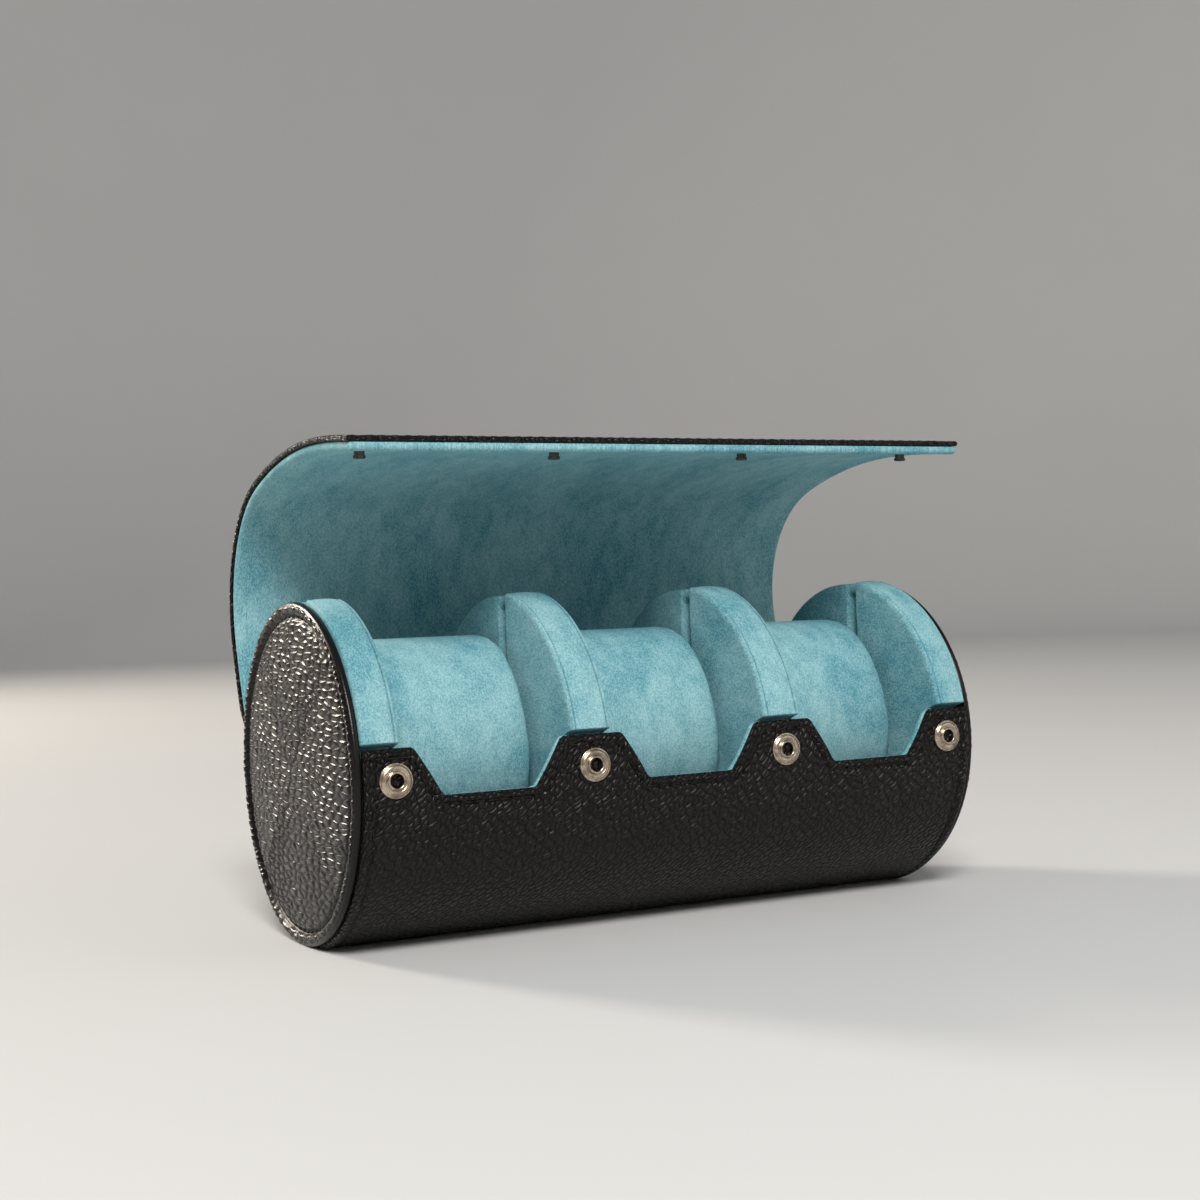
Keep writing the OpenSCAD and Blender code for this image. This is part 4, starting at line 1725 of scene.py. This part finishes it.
    def build(self) -> None:
        """Builds the rings and their springs, and dresses the studs, their plates and the socket
        backs.
        """
        rings = join("snap_rings", [part for x in self.sizes.snaps for part in (
            self.ring(x), self.beads(x, *self.inner_beads), self.beads(x, *self.outer_beads))])
        dress(rings, self.finishes.nickel)
        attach(rings, "case")
        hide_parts("socket_rings")
        springs = join("snap_springs", [self.spring(x) for x in self.sizes.snaps])
        dress(springs, self.finishes.gunmetal)
        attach(springs, "case")
        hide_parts("socket_springs")
        for name in ("socket_backs", "studs", "stud_plates"):
            dress(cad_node(name), self.finishes.gunmetal)
        log.info("snaps: rings, springs and studs")


# ------------------------------
# The lid
# ------------------------------


@dataclass
class Lid:
    """The bending lid: leather outside, suede inside, stitched along its ends and its front edge."""

    finishes: Finishes
    sizes: CaseSizes = CASE
    section: float = 26.3894
    turns: tuple[float, ...] = (8.0, 43.0, 42.0, 10.0, 10.0, 5.0)
    start_angle: float = -22.0
    offset: float = 1.6
    pivot_radius: float = 47.4
    half_length: float = 97.2
    suede_in: float = 0.6
    front_trim: float = 0.9
    edge_bulge: float = 0.9
    seam: float = 4.2
    seam_width: float = 0.75
    seam_depth: float = 0.2
    ease: float = 5.0
    samples: int = 1600
    columns: int = 130
    row_step: float = 1.1
    pattern_start: float = 60.0
    fold_steps: int = 18
    tail_steps: int = 8
    bend_depth: float = 2.0

    def __post_init__(self) -> None:
        """Works out the curl: the inner line of the lid, point by point along its length.

        The heading turns at a steady rate within each section. The rate is eased by a running mean
        over 2 ease, and the line is the running sum of unit steps (-sin(heading), cos(heading)).
        """
        self.run = np.linspace(0.0, self.length, self.samples + 1)
        step = self.run[1] - self.run[0]
        rate = np.repeat(np.array(self.turns) / self.section, self.samples // len(self.turns) + 1)
        rate = rate[:self.samples]
        count = int(2 * self.ease / step)
        padded = np.concatenate([np.full(count, rate[0]), rate, np.full(count, rate[-1])])
        rate = np.convolve(padded, np.ones(count) / count, "same")[count:-count]
        heading = np.radians(self.start_angle + np.concatenate([[0.0], np.cumsum(rate) * step]))
        middle = (heading[1:] + heading[:-1]) / 2.0
        back = math.radians(self.sizes.back_angle)
        first_y = self.pivot_radius * math.cos(back) + self.offset * math.cos(heading[0])
        first_z = self.pivot_radius * math.sin(back) + self.offset * math.sin(heading[0])
        self.heading = heading
        self.y = first_y + np.concatenate([[0.0], np.cumsum(-np.sin(middle) * step)])
        self.z = (first_z + self.sizes.axis_height
                  + np.concatenate([[0.0], np.cumsum(np.cos(middle) * step)]))

    def at(self, s: Values, depth: Values) -> tuple[Values, Values, Values, Values]:
        """Points of the lid at a distance along its inner line and a depth outward from it.

        Args:
            s: Distance from the hinge.
            depth: Depth from the lining's face towards the leather's face.

        Returns:
            y, z and the two parts of the outward normal.
        """
        heading = np.interp(s, self.run, self.heading)
        ny, nz = np.cos(heading), np.sin(heading)
        y, z = np.interp(s, self.run, self.y), np.interp(s, self.run, self.z)
        return y + depth * ny, z + depth * nz, ny, nz

    def layer(self, name: str, low: float, high: float, start: float, end: float, half_x: float,
              bulge: tuple[float, float]) -> bpy.types.Object:
        """One layer of the lid between two distances from the hinge.

        Args:
            name: Name of the piece.
            low: Depth of its inner face.
            high: Depth of its outer face.
            start: Distance at which it starts.
            end: Distance at which it ends.
            half_x: Half its length along the case.
            bulge: Roundness of its start and end.

        Returns:
            The closed piece.
        """
        half = (high - low) / 2.0
        x = np.linspace(-half_x + half, half_x - half, self.columns)[:, None]
        s = np.linspace(start, end, max(3, int((end - start) / self.row_step)))
        close_rows = np.array([0.04, 0.3])
        s = np.unique(np.concatenate([s, start + close_rows, end - close_rows]))
        depth = np.full((len(x), len(s)), (low + high) / 2.0)
        if high == self.wall:
            depth = depth + self.relief(x, s) / 2.0
            half = half + self.relief(x, s) / 2.0
        y, z, ny, nz = self.at(np.broadcast_to(s, depth.shape), depth)
        uv = ordered(x, self.pattern_start + s)
        halves = np.broadcast_to(half, depth.shape).copy()
        return thick_sheet(name, ordered(x, y, z), ordered(0.0, ny, nz), halves, uv,
                           (self.edge_bulge, self.edge_bulge, *bulge))

    @property
    def wall(self) -> float:
        """Whole thickness of the lid."""
        return self.sizes.leather + self.sizes.board + self.sizes.lining

    @property
    def inside(self) -> float:
        """Thickness of the suede with the board inside it."""
        return self.sizes.lining + self.sizes.board

    @property
    def length(self) -> float:
        """Length of the lid from the hinge to its front edge."""
        return self.section * len(self.turns)

    def relief(self, x: Array, s: Array) -> Array:
        """Furrow that the stitches press into the lid's leather, by the nearest row's distance.

        Args:
            x: Place along the case.
            s: Distance from the hinge.

        Returns:
            Height change, zero or negative.
        """
        ends = np.abs(np.abs(x) - (self.half_length - self.seam))
        front = np.abs(s - (self.length - self.seam))
        return groove(np.minimum(ends, front), self.seam_width, self.seam_depth)

    def fold(self, name: str, outer: bool) -> bpy.types.Object:
        """The sheet that crosses the hinge, from the shell to the middle of the first section.

        Its line is a cubic Hermite curve from the shell's end to landing, a distance along the lid,
        and then follows the lid. Reach is the length of the curve's two tangents.

        Args:
            name: Name of the piece.
            outer: Whether it is the leather outside or the suede inside.

        Returns:
            The closed piece.
        """
        s = self.sizes
        if outer:
            landing, reach, angle = 7.0, 11.0, math.radians(s.fold_angle)
            first_half, last_half = (s.leather + s.board) / 2, s.leather / 2
            radius, depth = s.shell_radius - first_half, self.wall - last_half
            first, last = s.shell_half, self.half_length
        else:
            landing, reach, angle = 5.0, 7.0, math.radians(s.back_angle - 1.2)
            first_half, last_half = s.lining / 2, self.inside / 2
            radius, depth = s.bay_radius + first_half, last_half
            first, last = s.shell_half - 0.3, self.half_length - self.suede_in
        end_y, end_z, ny, nz = self.at(landing, depth)
        start_y, start_z = around(radius, angle)
        t = np.linspace(0.0, 1.0, self.fold_steps)
        h00, h10 = 2 * t ** 3 - 3 * t ** 2 + 1, t ** 3 - 2 * t ** 2 + t
        h01, h11 = -2 * t ** 3 + 3 * t ** 2, t ** 3 - t ** 2
        y = h00 * start_y + h10 * reach * -math.sin(angle) + h01 * end_y + h11 * reach * -nz
        z = h00 * start_z + h10 * reach * math.cos(angle) + h01 * end_z + h11 * reach * ny
        rest = np.linspace(landing, self.section / 2, self.tail_steps + 1)[1:]
        tail_y, tail_z, _, _ = self.at(rest, depth)
        y, z = np.concatenate([y, tail_y]), np.concatenate([z, tail_z])
        along = unit(ordered(np.gradient(y), np.gradient(z)))
        half = first_half + (last_half - first_half) * smooth_step(0.0, 1.0, t)
        half = np.concatenate([half, np.full_like(rest, last_half)])
        widen = smooth_step(0.0, self.fold_steps - 1.0, np.arange(len(y)))
        width = first + (last - first) * widen
        x = np.linspace(-1.0, 1.0, self.columns)[:, None] * (width - half)
        points = ordered(x, y, z)
        normal = ordered(np.zeros(x.shape), along[:, 1], -along[:, 0])
        run = np.concatenate([[0.0], np.cumsum(np.hypot(np.diff(y), np.diff(z)))])
        uv = ordered(x, self.pattern_start + self.section / 2 + run - run[-1])
        halves = np.broadcast_to(half, x.shape).copy()
        if outer:
            ends = np.abs(np.abs(x) - (width - self.seam))
            halves = halves + groove(ends, self.seam_width, self.seam_depth) / 2.0
        return thick_sheet(name, points, normal, halves, uv,
                           (self.edge_bulge, self.edge_bulge, 0.0, 0.0))

    def thread_rows(self, name: str, start: float, end: float, front: bool,
                    inside: bool) -> bpy.types.Object:
        """Stitches along both ends of the lid between two distances, and along its front edge.

        Args:
            name: Name of the piece.
            start: Distance at which the rows start.
            end: Distance at which they end.
            front: Whether to add the row along the front edge.
            inside: Whether the rows lie on the suede.

        Returns:
            The stitches.
        """
        if inside:
            depth, facing, sink, thread = 0.0, -1.0, 0.10, 0.22
        else:
            depth, facing, sink, thread = self.wall, 1.0, 0.15, THREAD_RADIUS
        reach = self.half_length - self.seam
        s = np.linspace(start, end, 60)
        lines = [(side.value * reach, s) for side in Side]
        if front:
            corner = reach - 2.0
            lines.append((np.linspace(-corner, corner, 300), self.length - self.seam))
        rows = []
        for x, s in lines:
            y, z, ny, nz = self.at(s, depth)
            path, normal = ordered(x, y, z), facing * ordered(np.zeros_like(x), ny, nz)
            normal = np.broadcast_to(normal, path.shape)
            rows.append(stitches("row", path, normal, sink, thread))
        return join(name, rows)

    def bend(self, piece: bpy.types.Object, index: int) -> None:
        """Bakes a piece's placing into its mesh; the piece stays at rest and does not bend across the
        joint.

        Args:
            piece: A piece that runs from the middle of one section to the middle of the next.
            index: Not used. 0 for the hinge at the case, 1 for the joint between sections 1 and 2,
                and so on.
        """
        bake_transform(piece)

    def build(self) -> None:
        """Builds the lid as one sheet in seven stretches, six across the hinge and the joints."""
        count, first_stitch = len(self.turns), 9.0
        for index in range(count + 1):
            low = max(0.0, (index - 0.5) * self.section)
            high = min(self.length, (index + 0.5) * self.section)
            last = index == count
            if index == 0:
                leather = self.fold("lid_outside_fold", outer=True)
                suede = self.fold("lid_inside_fold", outer=False)
            else:
                edge = (0.0, self.edge_bulge * last)
                leather = self.layer(f"lid_outside_{index}", self.inside, self.wall, low,
                                     high - self.front_trim * last, self.half_length, edge)
                suede = self.layer(f"lid_inside_{index}", 0.0, self.inside, low,
                                   high - 1.2 * self.front_trim * last,
                                   self.half_length - self.suede_in, edge)
            sewn = (low if index else first_stitch, high - self.seam * last, last)
            outside = self.thread_rows(f"lid_stitches_{index}", *sewn, inside=False)
            inside = self.thread_rows(f"lid_suede_stitches_{index}", *sewn, inside=True)
            dress(leather, self.finishes.leather)
            dress(suede, self.finishes.suede_sheet)
            dress(outside, self.finishes.dark_thread)
            dress(inside, self.finishes.turquoise_thread)
            for piece, slot in ((leather, "leather"), (suede, "suede"), (outside, "leather"),
                                (inside, "suede")):
                if last:
                    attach(piece, f"lid_{count}")
                else:
                    self.bend(piece, index)
            if index < count:
                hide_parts(f"lid_leather_{index + 1}")
                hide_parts(f"lid_lining_{index + 1}", f"lid_board_{index + 1}")
            if index == 0:
                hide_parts("hinge_roll")
        log.info("lid: %d stretches of leather and suede", count + 1)


# ------------------------------
# Studio
# ------------------------------


@dataclass
class Studio:
    """Camera at the photograph's angle, a pale floor and soft lamps."""

    place: tuple[float, float, float] = (-260.7, -489.9, 94.0)
    yaw: float = 27.83
    pitch: float = -0.27
    roll: float = -1.9
    focal_pixels: float = 1861.0
    frame_pixels: float = 1200.0
    sensor: float = 36.0
    aim: tuple[float, float, float] = (0.0, 0.0, 60.0)
    floor_light: tuple = (0.66, 0.66, 0.655, 1.0)
    floor_dark: tuple = (0.63, 0.63, 0.625, 1.0)
    floor_radius: float = 2600.0
    floor_bend: float = 700.0
    floor_wall: float = 1200.0
    floor_steps: int = 96

    def camera(self) -> None:
        """Adds the camera.

        Its forward direction is (sin yaw cos pitch, cos yaw cos pitch, sin pitch), with the angles
        in degrees in the fields. The image axes are then turned by the roll.
        """
        yaw, pitch, roll = (math.radians(a) for a in (self.yaw, self.pitch, self.roll))
        forward = Vector((math.sin(yaw) * math.cos(pitch), math.cos(yaw) * math.cos(pitch),
                          math.sin(pitch)))
        right = Vector((math.cos(yaw), -math.sin(yaw), 0.0))
        up = right.cross(forward)
        image_right = math.cos(roll) * right + math.sin(roll) * up
        image_up = -math.sin(roll) * right + math.cos(roll) * up
        data = bpy.data.cameras.new("camera")
        data.sensor_width = self.sensor
        data.lens = self.sensor * self.focal_pixels / self.frame_pixels
        data.clip_start = 0.01
        camera = bpy.data.objects.new("camera", data)
        turn = Matrix((image_right, image_up, -forward)).transposed().to_4x4()
        camera.matrix_world = Matrix.Translation(Vector(self.place) * MM) @ turn
        bpy.context.scene.collection.objects.link(camera)
        bpy.context.scene.camera = camera

    def floor(self) -> None:
        """Adds a pale round floor that turns up into a low wall far behind.

        Its profile is flat out to 2.6 m, a quarter circle of 0.7 m, and a wall of 1.2 m.
        """
        sheet = NodeSheet("floor")
        cloud = sheet.noise(sheet.place(PatternSpace.OBJECT), 3.0, 2.0)
        sheet.set(Base_Color=sheet.blend(cloud, self.floor_light, self.floor_dark), Roughness=0.6,
                  Specular_IOR_Level=0.25)
        bend = np.linspace(0.0, QUARTER, 16)
        reach = self.floor_radius + self.floor_bend * np.sin(bend)
        rise = self.floor_bend * (1.0 - np.cos(bend))
        radius = np.concatenate([[1.0, 300.0, 1200.0], reach, reach[-1:]])
        height = np.concatenate([[0.0, 0.0, 0.0], rise, rise[-1:] + self.floor_wall])
        floor = add_mesh("floor", turned(radius, height, self.floor_steps),
                         grid_quads(len(radius), self.floor_steps, wrap=True))
        dress(floor, sheet.material)

    def lamp(self, name: str, place: tuple[float, float, float], size: float, power: float,
             colour: tuple[float, float, float]) -> None:
        """Adds a square soft lamp aimed at the middle of the case.

        Args:
            name: Name of the lamp.
            place: Its place in millimetres.
            size: Its side in metres.
            power: Its power in watts.
            colour: Its colour.
        """
        data = bpy.data.lights.new(name, "AREA")
        data.size = size
        data.energy = power
        data.color = colour
        lamp = bpy.data.objects.new(name, data)
        lamp.location = Vector(place) * MM
        beam = Vector(self.aim) * MM - lamp.location
        lamp.rotation_euler = beam.to_track_quat("-Z", "Y").to_euler()
        bpy.context.scene.collection.objects.link(lamp)

    def world(self) -> None:
        """A pale, even surround."""
        world = bpy.data.worlds.new("surround")
        world.use_nodes = True
        background = world.node_tree.nodes["Background"]
        background.inputs["Color"].default_value = (0.94, 0.96, 1.0, 1.0)
        background.inputs["Strength"].default_value = 0.25
        bpy.context.scene.world = world

    def build(self) -> None:
        """Sets the whole studio up."""
        self.camera()
        self.floor()
        self.world()
        self.lamp("key", (-700.0, -1450.0, 1450.0), 0.7, 43.0, (1.0, 0.98, 0.95))
        self.lamp("fill", (1300.0, -1500.0, 900.0), 1.4, 5.0, (0.95, 0.98, 1.0))
        self.lamp("rim", (-950.0, 1700.0, 850.0), 0.36, 32.0, (1.0, 0.89, 0.76))
        bpy.context.scene.view_settings.view_transform = "Standard"
        log.info("studio: camera, floor and three lamps")


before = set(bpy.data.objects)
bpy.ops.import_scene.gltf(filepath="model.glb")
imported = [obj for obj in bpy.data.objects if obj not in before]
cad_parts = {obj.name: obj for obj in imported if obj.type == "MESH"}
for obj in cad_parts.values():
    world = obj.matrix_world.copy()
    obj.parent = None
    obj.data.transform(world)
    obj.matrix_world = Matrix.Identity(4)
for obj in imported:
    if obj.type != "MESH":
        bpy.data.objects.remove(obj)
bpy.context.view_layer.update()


def main() -> None:
    """Builds every piece of the case in order and sets up the studio."""
    logging.basicConfig(level=logging.INFO, format="%(name)s: %(message)s")
    finishes = Finishes.build()
    Shell(finishes).build()
    for side in Side:
        EndDisc(finishes, side).build()
    wall_width = CASE.shell_half - CASE.wall_face
    wall_middle = (CASE.shell_half + CASE.wall_face) / 2.0
    Partition(finishes, "left_wall", -wall_middle, wall_width, outer=Side.LEFT).build()
    Partition(finishes, "left_divider", -CASE.divider_middle, CASE.divider_width).build()
    Partition(finishes, "right_divider", CASE.divider_middle, CASE.divider_width).build()
    Partition(finishes, "right_wall", wall_middle, wall_width, outer=Side.RIGHT).build()
    sewn = None
    for bay in Bay:
        sewn = Pillow(finishes, bay).build(sewn)
    SnapFasteners(finishes).build()
    Lid(finishes).build()
    Studio().build()


if __name__ == "__main__":
    main()
